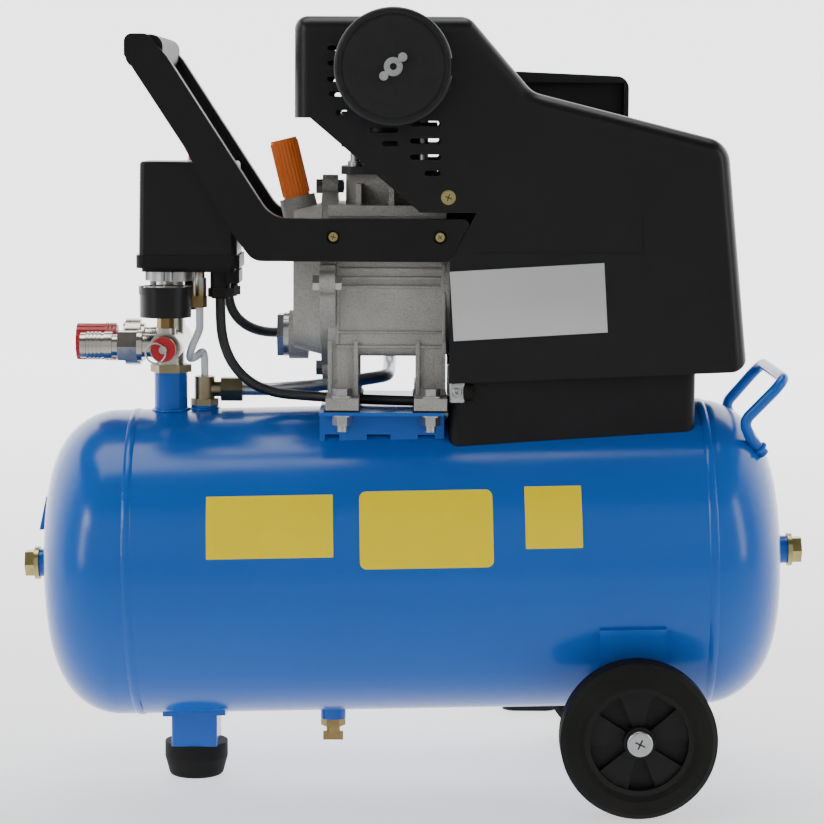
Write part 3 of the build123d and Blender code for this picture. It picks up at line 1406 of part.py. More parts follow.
with BuildPart() as needle_rear:
    build_needle(1)
needle_rear.part.label = "needle_rear"
export_step(needle_rear.part, "parts/needle_rear.step")

# ---------------------------------------------------------------- pressure switch
switch_mid = (switch_left + switch_right) / 2
switch_wall = 2.5
knob_x = -168.0
gland_front = (-151.0, -14.0)
gland_rear = (-147.0, 14.0)
gland_low = 381.0
gland_top = 389.0
with BuildPart() as switch_base:
    with BuildSketch(along_z(switch_mid, 0, switch_base_z)) as foot:
        RectangleRounded(switch_right - switch_left - 4, 2 * switch_half - 4, 5)
    extrude(foot.sketch, amount=3)
    with BuildSketch(along_z(switch_mid, 0, switch_base_z + 3)) as lip:
        RectangleRounded(switch_right - switch_left + 4, 2 * switch_half + 4, 6)
    extrude(lip.sketch, amount=switch_split_z - switch_base_z - 3)
    for spot in (gland_front, gland_rear):
        rod(along_z(spot[0], spot[1], gland_top), 8, switch_base_z - gland_top + 1)
    block((-151, -20, gland_top + 4), (switch_right + 1, 20, switch_base_z + 1))
    block((-160, -24, switch_split_z - 4), (-141, 24, switch_split_z + 1), Mode.SUBTRACT)
    for spot in (gland_front, gland_rear):
        rod(along_z(spot[0], spot[1], gland_top - 1), lead_radius + 0.4, 40, Mode.SUBTRACT)

with BuildPart() as switch_cover:
    with BuildSketch(along_z(switch_mid, 0, switch_split_z)) as low:
        RectangleRounded(switch_right - switch_left, 2 * switch_half, 5)
    with BuildSketch(along_z(switch_mid, 0, switch_top_z)) as high:
        RectangleRounded(switch_right - switch_left - 2, 2 * switch_half - 2, 5)
    loft(sections=[low.sketch, high.sketch])
    fillet(faces().sort_by(Axis.Z)[-1].edges(), radius=2.5)
    with BuildSketch(along_z(switch_mid, 0, switch_split_z)) as room:
        RectangleRounded(switch_right - switch_left - 2 * switch_wall - 2, 2 * switch_half - 2 * switch_wall - 2, 3)
    extrude(room.sketch, amount=switch_top_z - switch_split_z - switch_wall, mode=Mode.SUBTRACT)
    rod(along_z(knob_x, 0, switch_top_z - 5), 3.5 + free_clear, 10, Mode.SUBTRACT)
switch_cover.part.label = "switch_cover"
export_step(switch_cover.part, "parts/switch_cover.step")

with BuildPart() as switch_block:
    block((-200, -22, switch_split_z), (-150, 22, switch_split_z + 28))
    rod(along_z(knob_x, 0, switch_split_z + 18), 4, 20, Mode.SUBTRACT)

with BuildPart() as switch_knob:
    rod(along_z(knob_x, 0, switch_top_z + 0.5), 9, 10)
    fillet(edges().filter_by(GeomType.CIRCLE).sort_by(Axis.Z)[-1], radius=2)
    rod(along_z(knob_x, 0, switch_split_z + 20), 3.5, switch_top_z - switch_split_z - 19)
switch_knob.part.label = "switch_knob"
export_step(switch_knob.part, "parts/switch_knob.step")

with BuildPart() as diaphragm_flange:
    rod(along_z(riser_x, 0, flange_low), 20, switch_base_z - flange_low)
    for k in range(6):
        angle = radians(60 * k + 30)
        rod(along_z(riser_x + 21 * cos(angle), 21 * sin(angle), flange_low - 1), 4, 12, Mode.SUBTRACT)

with BuildPart() as cable_glands:
    for spot in (gland_front, gland_rear):
        hexagon(along_z(spot[0], spot[1], gland_low + 1), 17, gland_top - gland_low - 1, lead_radius + 0.4)
        tube(along_z(spot[0], spot[1], gland_low), 7, lead_radius + 0.4, 2)

# ---------------------------------------------------------------- leads
cord_limit = 400.0
terminal_left = shroud_left + shroud_wall
motor_lead_route = (
    (gland_front[0], gland_front[1], switch_base_z),
    (-151.3, -14.2, 366),
    (-149, -15, 346),
    (-141, -15.5, 328),
    (-127, -14, 314),
    (-108, -11, 306.5),
    (-88, -12, 305),
    (-66, -18, 304.3),
    (-43, -27, 304.0),
    (-20, -33.5, 303.9),
    (2, lead_hole_y, lead_z),
    (terminal_left, lead_hole_y, lead_z),
)
with BuildPart() as motor_lead:
    motor_length, motor_radii = pipe(motor_lead_route, lead_radius, cord_limit)
motor_lead.part.label = "motor_lead"
export_step(motor_lead.part, "parts/motor_lead.step")
print("motor lead", round(motor_length), [round(r) for r in motor_radii])
print("motor lead volume ratio", motor_lead.part.volume / (pi * lead_radius**2 * motor_length))

with BuildPart() as motor_terminal:
    block((terminal_left, lead_hole_y - 10, lead_z - 6), (terminal_left + 14, lead_hole_y + 10, lead_z + 10))

# mains lead: behind the pump through one clip, down behind the tank, coiled on the floor
clip_x = -32.0
clip_y = 68.5
clip_z = 350.0
coil_x = 197.0
coil_y = 204.0
coil_mean = 44.0
coil_inner = coil_mean - 2.25 * lead_radius
coil_outer = coil_mean + 2.25 * lead_radius
coil_height = 4 * lead_radius + 0.5
floor_z = lead_radius + 0.1
mains_lead_route = (
    (gland_rear[0], gland_rear[1], switch_base_z),
    (-146.6, 14.3, 378),
    (-142.5, 16.5, 366),
    (-133, 22, 356.5),
    (-119.5, 32.5, 350.8),
    (-103, 49.5, 349.5),
    (-83, 64.3, 350.2),
    (clip_x - 22, clip_y - 0.8, clip_z + 0.3),
    (clip_x + 22, clip_y + 0.8, clip_z - 0.3),
    (13, 80.5, 344.5),
    (28, 95, 333),
    (42, 106, 316),
    (54, 116, 292),
    (64, 124, 262),
    (73, 130, 226),
    (81, 135, 188),
    (88, 140, 148),
    (94, 144, 110),
    (100.5, 147, 76),
    (109, 149, 48),
    (119, 151, 29.5),
    (133.5, 153, 15.5),
    (151.5, 155, 7),
    (172, coil_y - coil_mean - lead_radius, floor_z + 0.2),
    (190, coil_y - coil_mean - lead_radius + 0.6, floor_z),
)
with BuildPart() as mains_coil:
    with BuildSketch(along_z(coil_x, coil_y, 0)) as ring:
        Circle(coil_outer)
        Circle(coil_inner, mode=Mode.SUBTRACT)
    extrude(ring.sketch, amount=coil_height)
    fillet(edges().filter_by(GeomType.CIRCLE), radius=lead_radius - 0.5)
mains_coil.part.label = "mains_coil"
export_step(mains_coil.part, "parts/mains_coil.step")

with BuildPart() as mains_lead:
    mains_length, mains_radii = pipe(mains_lead_route, lead_radius, cord_limit)
    add(mains_coil.part, mode=Mode.SUBTRACT)
print("mains lead", round(mains_length), [round(r) for r in mains_radii])
print("mains lead volume ratio", mains_lead.part.volume / (pi * lead_radius**2 * mains_length))

# clip that holds the lead on the back of the crankcase
with BuildPart() as lead_clip:
    tube(along_x(clip_x - 5, clip_y, clip_z), lead_radius + 1.6, lead_radius + 0.3, 10)
    block((clip_x - 5, case_half, clip_z + 3), (clip_x + 5, case_half + 1.6, clip_z + 22))
    block((clip_x - 5, case_half, clip_z + 3), (clip_x + 5, clip_y, clip_z + 4.6))
    rod(along_x(clip_x - 6, clip_y, clip_z), lead_radius + 0.3, 12, Mode.SUBTRACT)
    rod(along_y(clip_x, case_half + 1.6, clip_z + 14), 2.6, 4, Mode.SUBTRACT)
    rod(along_y(clip_x, case_half + 5.6, clip_z + 14), 4.5, 4)

# end of the lead, off the top of the coil into the plug, which lies beside the coil
plug_size = 48.0
plug_thick = 16.0
plug_right = 128.0
plug_y = coil_y + 49.0
plug_z = plug_thick / 2 + 0.1
sleeve_tip = plug_right + 22.0
tail_route = (
    (coil_x, coil_y + coil_mean + lead_radius, 12.4),
    (178, coil_y + coil_mean + lead_radius + 0.3, 11.6),
    (162, plug_y - 0.2, 9.6),
    (sleeve_tip, plug_y, plug_z),
)
with BuildPart() as mains_lead_end:
    end_length, end_radii = pipe(tail_route, lead_radius, cord_limit)
    add(mains_coil.part, mode=Mode.SUBTRACT)
print("lead end", round(end_length), [round(r) for r in end_radii])

with BuildPart() as mains_plug:
    with BuildSketch(along_z(plug_right - plug_size / 2, plug_y, plug_z - plug_thick / 2)) as outline:
        RectangleRounded(plug_size, plug_size, 12)
    extrude(outline.sketch, amount=plug_thick)
    fillet(faces().sort_by(Axis.Z)[-1].edges(), radius=2)
    with BuildSketch(along_x(plug_right - 1, plug_y, plug_z)) as root:
        Circle(7)
    with BuildSketch(along_x(sleeve_tip, plug_y, plug_z)) as tip:
        Circle(lead_radius + 1.2)
    loft(sections=[root.sketch, tip.sketch])
    add(mains_lead_end.part, mode=Mode.SUBTRACT)

with BuildPart() as plug_pins:
    face_z = plug_z + plug_thick / 2
    middle = plug_right - plug_size / 2
    block((middle + 11, plug_y - 2, face_z), (middle + 19, plug_y + 2, face_z + 22.7))
    for side in (-1, 1):
        low_y = plug_y + side * 11.1 - 3.2
        block((middle - 10, low_y, face_z), (middle - 6, low_y + 6.4, face_z + 17.7))

# ---------------------------------------------------------------- grouped small parts
# solids that share a finish and stay together are kept as one part each
with BuildPart() as tank_fittings:
    add(tank_bosses.part)
    add(tank_tab.part)
    add(riser_pipe.part)
tank_fittings.part.label = "tank_fittings"
export_step(tank_fittings.part, "parts/tank_fittings.step")

with BuildPart() as rubber_feet:
    add(rubber_foot.part)
    add(rubber_mounts.part)
rubber_feet.part.label = "rubber_feet"
export_step(rubber_feet.part, "parts/rubber_feet.step")

with BuildPart() as plated_bolts:
    add(foot_bolt.part)
    add(axle_bolts.part)
    add(cover_bolts.part)
    add(pump_bolts.part)
    add(head_studs.part)
plated_bolts.part.label = "plated_bolts"
export_step(plated_bolts.part, "parts/plated_bolts.step")

with BuildPart() as sight_glass:
    add(sight_ring.part)
    add(sight_lens.part)
sight_glass.part.label = "sight_glass"
export_step(sight_glass.part, "parts/sight_glass.step")

with BuildPart() as rod_assembly:
    add(connecting_rod.part)
    add(wrist_pin.part)
    add(crank_pin.part)
rod_assembly.part.label = "rod_assembly"
export_step(rod_assembly.part, "parts/rod_assembly.step")

with BuildPart() as rotor:
    add(motor_shaft.part)
    add(crank_web.part)
    add(rotor_core.part)
rotor.part.label = "rotor"
export_step(rotor.part, "parts/rotor.step")

with BuildPart() as run_capacitor:
    add(capacitor_cover.part)
    add(capacitor.part)
run_capacitor.part.label = "run_capacitor"
export_step(run_capacitor.part, "parts/run_capacitor.step")

with BuildPart() as cover_screws:
    add(cowl_screws.part)
    add(handle_screws.part)
cover_screws.part.label = "cover_screws"
export_step(cover_screws.part, "parts/cover_screws.step")

with BuildPart() as filter_mount:
    add(filter_base.part)
    add(intake_tube.part)
    add(filter_stud.part)
filter_mount.part.label = "filter_mount"
export_step(filter_mount.part, "parts/filter_mount.step")

with BuildPart() as brass_valves:
    add(check_valve.part)
    add(unloader_valve.part)
    add(drain_body.part)
brass_valves.part.label = "brass_valves"
export_step(brass_valves.part, "parts/brass_valves.step")

with BuildPart() as air_pipes:
    add(delivery_pipe.part)
    add(unloader_tube.part)
air_pipes.part.label = "air_pipes"
export_step(air_pipes.part, "parts/air_pipes.step")

with BuildPart() as union_nuts:
    add(delivery_nuts.part)
    add(riser_nut.part)
union_nuts.part.label = "union_nuts"
export_step(union_nuts.part, "parts/union_nuts.step")

with BuildPart() as relief_valve:
    add(safety_valve.part)
    add(safety_cap.part)
relief_valve.part.label = "relief_valve"
export_step(relief_valve.part, "parts/relief_valve.step")

with BuildPart() as gauges:
    add(gauge_cases.part)
    add(gauge_stems.part)
    add(gauge_dials.part)
gauges.part.label = "gauges"
export_step(gauges.part, "parts/gauges.step")

with BuildPart() as switch_body:
    add(switch_base.part)
    add(switch_block.part)
    add(diaphragm_flange.part)
switch_body.part.label = "switch_body"
export_step(switch_body.part, "parts/switch_body.step")

with BuildPart() as lead_fixings:
    add(cable_glands.part)
    add(lead_clip.part)
    add(motor_terminal.part)
lead_fixings.part.label = "lead_fixings"
export_step(lead_fixings.part, "parts/lead_fixings.step")

with BuildPart() as mains_cord:
    add(mains_lead.part)
    add(mains_lead_end.part)
mains_cord.part.label = "mains_cord"
export_step(mains_cord.part, "parts/mains_cord.step")

with BuildPart() as plug:
    add(mains_plug.part)
    add(plug_pins.part)
plug.part.label = "plug"
export_step(plug.part, "parts/plug.step")
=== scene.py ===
import math

import bpy
from mathutils import Matrix, Vector


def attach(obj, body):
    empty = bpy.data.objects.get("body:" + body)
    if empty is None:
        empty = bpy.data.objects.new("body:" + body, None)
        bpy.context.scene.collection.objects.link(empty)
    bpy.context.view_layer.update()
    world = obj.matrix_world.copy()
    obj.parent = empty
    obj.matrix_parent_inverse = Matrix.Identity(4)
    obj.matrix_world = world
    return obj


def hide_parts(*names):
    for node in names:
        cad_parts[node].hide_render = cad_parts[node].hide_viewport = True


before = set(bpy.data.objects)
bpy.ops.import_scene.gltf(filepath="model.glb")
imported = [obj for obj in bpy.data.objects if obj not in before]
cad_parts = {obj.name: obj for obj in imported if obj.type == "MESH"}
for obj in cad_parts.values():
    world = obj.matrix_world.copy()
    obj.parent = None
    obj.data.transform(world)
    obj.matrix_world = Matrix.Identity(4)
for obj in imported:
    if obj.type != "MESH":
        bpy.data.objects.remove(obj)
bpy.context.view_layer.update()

sides = ((-1, "front"), (1, "rear"))

# The tank slopes up to the right. Its axis is at this height where x is tank_middle.
slope = math.radians(1.35)
tank_radius = 0.12
tank_height = 0.177
tank_middle = 0.023


# ---- editing
def bare_selection():
    """Leaves nothing selected, so that an operator acts only on what is made next."""
    if bpy.context.object and bpy.context.object.mode != "OBJECT":
        bpy.ops.object.mode_set(mode="OBJECT")
    bpy.ops.object.select_all(action="DESELECT")


def open_mesh(action="SELECT"):
    """Opens the active mesh for editing, with all or none of it selected."""
    bpy.ops.object.mode_set(mode="EDIT")
    bpy.ops.mesh.select_all(action=action)


def close_mesh():
    bpy.ops.object.mode_set(mode="OBJECT")


def freeze():
    """Takes the selected object's place, turn and scale into its mesh."""
    bpy.ops.object.transform_apply(location=True, rotation=True, scale=True)


def fresh_cube(name):
    """A unit cube, open for editing with all of it selected."""
    bare_selection()
    bpy.ops.mesh.primitive_cube_add(size=1)
    cube = bpy.context.object
    cube.name = name
    open_mesh()
    return cube


# ---- surfaces
class Wire:
    """A shader socket that takes part in plain sums and products."""

    def __init__(self, surface, socket):
        self.surface = surface
        self.socket = socket

    def math(self, operation, first, second):
        return self.surface.node("Math", {"operation": operation}, first, second)

    def __add__(self, other):
        return self.math("ADD", self, other)

    def __radd__(self, other):
        return self.math("ADD", other, self)

    def __mul__(self, other):
        return self.math("MULTIPLY", self, other)


class Surface:
    """One material: its fixed finish, and what varies over it."""

    def __init__(self, name, colour, roughness, metallic=0.0, **fixed):
        self.material = bpy.data.materials.new(name)
        self.material.use_nodes = True
        self.tree = self.material.node_tree
        self.shader = self.tree.nodes["Principled BSDF"]
        self.shader.inputs["Base Color"].default_value = (*colour, 1)
        self.shader.inputs["Roughness"].default_value = roughness
        self.shader.inputs["Metallic"].default_value = metallic
        for socket, value in fixed.items():
            self.shader.inputs[socket.replace("_", " ")].default_value = value
        self.place = self.node("TexCoord", {}, out="Object")

    def node(self, kind, settings, *values, out=0, **named):
        made = self.tree.nodes.new("ShaderNode" + kind)
        for setting, value in settings.items():
            setattr(made, setting, value)
        for key, value in [*enumerate(values), *named.items()]:
            socket = made.inputs[key if isinstance(key, int) else key.replace("_", " ")]
            if isinstance(value, Wire):
                self.tree.links.new(value.socket, socket)
            else:
                socket.default_value = value
        return Wire(self, made.outputs[out])

    def feed(self, socket, value):
        self.tree.links.new(value.socket, self.shader.inputs[socket])

    def noise(self, scale, detail, stretch=(1, 1, 1), spread=0.5):
        where = self.node("Mapping", {}, Vector=self.place, Scale=stretch)
        return self.node(
            "TexNoise", {}, Vector=where, Scale=scale, Detail=detail, Roughness=spread, out="Fac"
        )

    def grains(self, scale):
        return self.node("TexVoronoi", {}, Vector=self.place, Scale=scale, out="Distance")

    def blend(self, amount, first, second):
        """Mixes two colours; these are the colour mix's own sockets."""
        factor_socket, first_socket, second_socket = 0, 6, 7
        mixed = self.tree.nodes.new("ShaderNodeMix")
        mixed.data_type = "RGBA"
        self.tree.links.new(amount.socket, mixed.inputs[factor_socket])
        for index, value in ((first_socket, first), (second_socket, second)):
            if isinstance(value, Wire):
                self.tree.links.new(value.socket, mixed.inputs[index])
            else:
                mixed.inputs[index].default_value = (*value, 1)
        return Wire(self, mixed.outputs[2])

    def ramp(self, value, stops):
        """Turns a value into greys between the stops."""
        made = self.tree.nodes.new("ShaderNodeValToRGB")
        while len(made.color_ramp.elements) < len(stops):
            made.color_ramp.elements.new(0.5)
        for element, (position, shade) in zip(made.color_ramp.elements, stops):
            element.position = position
            element.color = (shade, shade, shade, 1)
        self.tree.links.new(value.socket, made.inputs[0])
        return Wire(self, made.outputs[0])

    def drift(self, scale, detail, dark, light):
        """Lets the colour vary between two shades."""
        self.feed("Base Color", self.blend(self.noise(scale, detail), dark, light))

    def wear(self, least, amount, scale, detail):
        """Lets the roughness vary upwards from its least value."""
        self.feed("Roughness", least + self.noise(scale, detail) * amount)

    def relief(self, height, depth, strength):
        bump = self.node(
            "Bump", {}, Strength=strength, Distance=depth, Height=height, out="Normal"
        )
        self.feed("Normal", bump)


def dress(surface, *nodes):
    """Gives CAD nodes a finish."""
    for name in nodes:
        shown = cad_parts[name]
        shown.data.materials.clear()
        shown.data.materials.append(surface.material)


def settle(piece, surface, angle=30):
    """Finishes a piece: smooth where it curves, at rest on the frame, with its surface."""
    freeze()
    bpy.ops.object.shade_smooth_by_angle(angle=math.radians(angle))
    piece.data.materials.append(surface.material)
    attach(piece, "frame")


# ---- studio
# A pale floor that sweeps up into a wall on all four sides. It glows by itself, faintly in
# front and brightly behind, so that the backdrop is light and the dark plastics stay dark.
# Soft boxes stand overhead, at both sides and high at the front left. A long lens at the
# cowl's height, tipped slightly down, looks at the side with the filter.
floor_span = 12
wall_height = 6
sweep_width = 2.5
glow_strength = 2.4
glow_stops = ((0, 0.06), (0.33, 0.06), (0.465, 0.12), (0.5, 0.45), (0.71, 1.0), (1, 1.0))
air_strength = 0.12
camera_place = (-0.0015, -2.0934, 0.5243)
camera_focal = 116.91
camera_dip = 6.357
camera_roll = 0.302


def soft_box(name, place, target, size, power):
    lamp = bpy.data.lights.new(name, "AREA")
    lamp.shape = "RECTANGLE"
    lamp.size, lamp.size_y = size
    lamp.energy = power
    holder = bpy.data.objects.new(name, lamp)
    bpy.context.scene.collection.objects.link(holder)
    holder.location = place
    aim = Vector(target) - Vector(place)
    holder.rotation_euler = aim.to_track_quat("-Z", "Y").to_euler()


bare_selection()
bpy.ops.mesh.primitive_plane_add(size=floor_span, location=(0, 0, 0))
floor = bpy.context.object
floor.name = "studio_floor"
open_mesh("DESELECT")
close_mesh()
for edge in floor.data.edges:
    edge.select = True
bpy.ops.object.mode_set(mode="EDIT")
bpy.ops.mesh.select_mode(type="EDGE")
bpy.ops.mesh.extrude_edges_move(TRANSFORM_OT_translate={"value": (0, 0, wall_height)})
close_mesh()
freeze()
bend = floor.modifiers.new("sweep", "BEVEL")
bend.width = sweep_width
bend.segments = 16
bend.limit_method = "ANGLE"
bpy.ops.object.modifier_apply(modifier="sweep")
bpy.ops.object.shade_smooth()

paper = Surface("studio_paper", (0.55, 0.55, 0.555), 0.8, Emission_Strength=glow_strength)
depth = paper.node("SeparateXYZ", {}, paper.place, out="Y")
span = paper.node("MapRange", {}, depth, From_Min=-floor_span / 2, From_Max=floor_span / 2)
paper.feed("Emission Color", paper.ramp(span, glow_stops))
floor.data.materials.append(paper.material)

world = bpy.data.worlds.new("studio_air")
world.use_nodes = True
air = world.node_tree.nodes["Background"]
air.inputs["Color"].default_value = (0.95, 0.97, 1, 1)
air.inputs["Strength"].default_value = air_strength
bpy.context.scene.world = world
soft_box("top_box", (-0.1, 0.25, 2.3), (0, 0, 0.3), (2.0, 1.1), 34)
soft_box("left_box", (-2.0, -1.5, 1.1), (0, 0, 0.3), (0.4, 1.6), 13)
soft_box("right_box", (2.1, -1.2, 1.0), (0.1, 0, 0.3), (0.4, 1.6), 11)
soft_box("front_box", (-2.3, -1.9, 2.0), (0, 0, 0.25), (0.7, 0.5), 6)

lens = bpy.data.cameras.new("camera")
lens.lens = camera_focal
lens.sensor_width = 36
lens.clip_end = 60
viewer = bpy.data.objects.new("camera", lens)
bpy.context.scene.collection.objects.link(viewer)
viewer.location = camera_place
viewer.rotation_mode = "QUATERNION"
pitch = Matrix.Rotation(math.radians(90 - camera_dip), 3, "X")
roll = Matrix.Rotation(math.radians(camera_roll), 3, "Z")
viewer.rotation_quaternion = (pitch @ roll).to_quaternion()
bpy.context.scene.camera = viewer

# ---- mains lead and motor lead
# Round rubber cable, 8 mm. The mains lead drops from the switch, passes behind the pump,
# and its spare length lies coiled behind the wheel. The motor lead is held at both ends.
lead_rubber = Surface("lead_rubber", (0.012, 0.012, 0.013), 0.42, Specular_IOR_Level=0.5)
lead_mottle = lead_rubber.noise(220, 4)
lead_rubber.feed("Roughness", 0.34 + lead_mottle * 0.2)
lead_rubber.relief(lead_mottle, 0.0002, 0.5)

lead_thickness = 0.008


def cable(name, points):
    """A lead as a smooth spline through its route."""
    line = bpy.data.curves.new(name, "CURVE")
    line.dimensions = "3D"
    spline = line.splines.new("NURBS")
    spline.points.add(len(points) - 1)
    for knot, spot in zip(spline.points, points):
        knot.co = (*spot, 1)
    spline.order_u = 3
    spline.use_endpoint_u = True
    spline.resolution_u = 10
    line.bevel_depth = lead_thickness / 2
    line.bevel_resolution = 5
    line.use_fill_caps = True
    lead = bpy.data.objects.new(name, line)
    bpy.context.scene.collection.objects.link(lead)
    line.materials.append(lead_rubber.material)
    return lead


mains_route = [
    (-0.147, 0.014, 0.386),
    (-0.1466, 0.0143, 0.378),
    (-0.1425, 0.0165, 0.366),
    (-0.133, 0.022, 0.3565),
    (-0.1195, 0.0325, 0.3508),
    (-0.103, 0.0495, 0.3495),
    (-0.083, 0.0643, 0.3502),
    (-0.054, 0.0677, 0.3503),
    (-0.010, 0.0693, 0.3497),
    (0.013, 0.0805, 0.3445),
    (0.028, 0.095, 0.333),
    (0.042, 0.106, 0.316),
    (0.054, 0.116, 0.292),
    (0.064, 0.124, 0.262),
    (0.073, 0.130, 0.226),
    (0.081, 0.135, 0.188),
    (0.088, 0.140, 0.148),
    (0.094, 0.144, 0.110),
    (0.1005, 0.147, 0.076),
    (0.109, 0.149, 0.048),
    (0.119, 0.151, 0.0295),
    (0.1335, 0.153, 0.0155),
    (0.1515, 0.155, 0.007),
    (0.172, 0.156, 0.0043),
]

# The coil: outside and inside on the floor, then inside and outside again on top.
coil_centre = (0.197, 0.204)
coil_laps = ((0.0482, 0.0041), (0.0402, 0.0041), (0.0402, 0.0123), (0.0482, 0.0123))
turn_count = 3.52
entry_angle = math.radians(262)
steps = 14
for k in range(1, round(turn_count * steps) + 1):
    turned = k / steps
    angle = entry_angle + turned * 2 * math.pi
    radius, height = coil_laps[int(turned / turn_count * len(coil_laps))]
    x = coil_centre[0] + radius * math.cos(angle)
    y = coil_centre[1] + radius * math.sin(angle)
    mains_route.append((x, y, height))
mains_route += [(0.178, 0.2523, 0.0118), (0.162, 0.2528, 0.0098), (0.148, 0.253, 0.0083)]
mains_lead = cable("mains_lead", mains_route)
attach(mains_lead, "frame")
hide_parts("mains_cord", "mains_coil")

motor_route = [
    (-0.151, -0.014, 0.386),
    (-0.1513, -0.0142, 0.366),
    (-0.149, -0.015, 0.346),
    (-0.141, -0.0155, 0.328),
    (-0.127, -0.014, 0.314),
    (-0.108, -0.011, 0.3065),
    (-0.088, -0.012, 0.305),
    (-0.066, -0.018, 0.3043),
    (-0.043, -0.027, 0.304),
    (-0.020, -0.0335, 0.3039),
    (0.002, -0.036, 0.3036),
    (0.0272, -0.036, 0.3036),
]
motor_lead = cable("motor_cable", motor_route)
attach(motor_lead, "frame")
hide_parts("motor_lead")

# ---- painted steel
# Tank, saddle, leg, bracket and pull handle are mild steel, welded and sprayed in one gloss
# blue coat, so the welds are painted too. The coat shows a faint orange peel.
blue_paint = Surface("blue_gloss_paint", (0.0, 0.09, 0.42), 0.2, Specular_IOR_Level=0.34)
blue_paint.drift(7, 2, (0.0, 0.083, 0.39), (0.0, 0.099, 0.45))
blue_paint.wear(0.15, 0.1, 30, 3)
blue_paint.relief(blue_paint.noise(260, 2), 0.0001, 0.3)
dress(blue_paint, "tank_shell", "tank_fittings", "pump_saddle")
dress(blue_paint, "front_leg", "wheel_bracket", "rear_handle")


def fillet_weld(name, centre, turn, major, minor):
    """Weld bead round a tube or a boss: a ring, uneven like a hand-laid run."""
    bare_selection()
    bpy.ops.mesh.primitive_torus_add(
        major_radius=major,
        minor_radius=minor,
        major_segments=72,
        minor_segments=12,
        location=centre,
        rotation=turn,
    )
    bead = bpy.context.object
    bead.name = name
    open_mesh()
    bpy.ops.transform.vertex_random(offset=minor * 0.18, uniform=0.4, normal=0.4, seed=len(name))
    bpy.ops.mesh.vertices_smooth(factor=0.5, repeat=2)
    close_mesh()
    settle(bead, blue_paint, angle=80)


upright = (0, -slope, 0)
endways = (0, math.pi / 2 - slope, 0)
fillet_weld("weld_riser", (-0.191, 0, 0.2921), upright, 0.0136, 0.0017)
fillet_weld("weld_check", (-0.165, 0.006, 0.2925), upright, 0.0113, 0.0012)
fillet_weld("weld_drain", (-0.063, 0, 0.0548), upright, 0.0103, 0.0012)
fillet_weld("weld_plug_left", (-0.2862, 0, 0.1697), endways, 0.0113, 0.0014)
fillet_weld("weld_plug_right", (0.2848, 0, 0.1832), endways, 0.0113, 0.0014)
for side, end in sides:
    lean = Vector((0.0105, -side * 0.003, -0.012)).to_track_quat("Z", "Y").to_euler()
    fillet_weld("weld_grip_" + end, (0.2652, side * 0.0551, 0.2703), lean, 0.0052, 0.0016)

# ---- pressed tank heads
# Each end of the tank is one deep-drawn head, 2.5 mm steel: a short straight skirt, a tight
# shoulder and a flat crown, with a blue neck in its middle for the plug.
head_wall = 0.0025
neck_radius = 0.011
neck_length = 0.0115
neck_out = 0.0038


def pressed_head(name, side, seam, skirt, depth, shoulder, crown):
    """Half a sphere drawn out to the head's own curve, along the sloping tank."""
    bare_selection()
    lying = (0, math.radians(90), 0)
    bpy.ops.mesh.primitive_uv_sphere_add(segments=96, ring_count=64, radius=1, rotation=lying)
    head = bpy.context.object
    head.name = name
    freeze()
    open_mesh()
    bpy.ops.mesh.bisect(plane_co=(0, 0, 0), plane_no=(side, 0, 0), clear_inner=True)
    close_mesh()
    for vertex in head.data.vertices:
        swing = math.hypot(vertex.co.y, vertex.co.z)
        lift = min(1.0, max(0.0, abs(vertex.co.x)))
        reach = tank_radius * min(1.0, swing) ** (2 / crown)
        vertex.select = lift < 0.001
        if swing > 0:
            vertex.co.y *= reach / swing
            vertex.co.z *= reach / swing
        vertex.co.x = side * (skirt + depth * lift ** (2 / shoulder))
    bpy.ops.object.mode_set(mode="EDIT")
    bpy.ops.mesh.select_mode(type="VERT")
    bpy.ops.mesh.extrude_region_move(TRANSFORM_OT_translate={"value": (-side * skirt, 0, 0)})
    bpy.ops.mesh.select_all(action="SELECT")
    bpy.ops.mesh.normals_make_consistent(inside=False)
    close_mesh()
    wall = head.modifiers.new("wall", "SOLIDIFY")
    wall.thickness = head_wall
    wall.offset = -1
    bpy.ops.object.modifier_apply(modifier=wall.name)
    bpy.ops.mesh.primitive_cylinder_add(
        vertices=48,
        radius=neck_radius,
        depth=neck_length,
        location=(side * (skirt + depth + neck_out), 0, 0),
        rotation=lying,
    )
    neck = bpy.context.object
    open_mesh()
    bpy.ops.mesh.bevel(offset=0.0005, segments=2, affect="EDGES")
    close_mesh()
    head.select_set(True)
    neck.select_set(True)
    bpy.context.view_layer.objects.active = head
    bpy.ops.object.join()
    rise = (seam - tank_middle) * math.tan(slope)
    head.rotation_euler = upright
    head.location = (seam, 0, tank_height + rise)
    freeze()
    return head


left_head = pressed_head("head_left", -1, -0.215, 0.01567, 0.05534, 1.91, 4.01)
right_head = pressed_head("head_right", 1, 0.226, 0.00171, 0.05701, 1.72, 3.96)
bare_selection()
right_head.select_set(True)
left_head.select_set(True)
bpy.context.view_layer.objects.active = left_head
bpy.ops.object.join()
left_head.name = "pressed_heads"
settle(left_head, blue_paint, angle=40)
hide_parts("tank_heads")

# ---- stickers on the tank
# Three bare yellow vinyl sheets, 0.2 mm, pressed round the shell along its own slope.
vinyl = Surface("yellow_vinyl", (0.64, 0.48, 0.0), 0.34, Specular_IOR_Level=0.15)
vinyl.drift(14, 3, (0.76, 0.59, 0.0), (0.84, 0.655, 0.0))
vinyl.wear(0.28, 0.16, 90, 3)
vinyl.relief(vinyl.noise(160, 2), 0.00008, 0.4)

vinyl_gap = 0.0003
vinyl_thickness = 0.00022


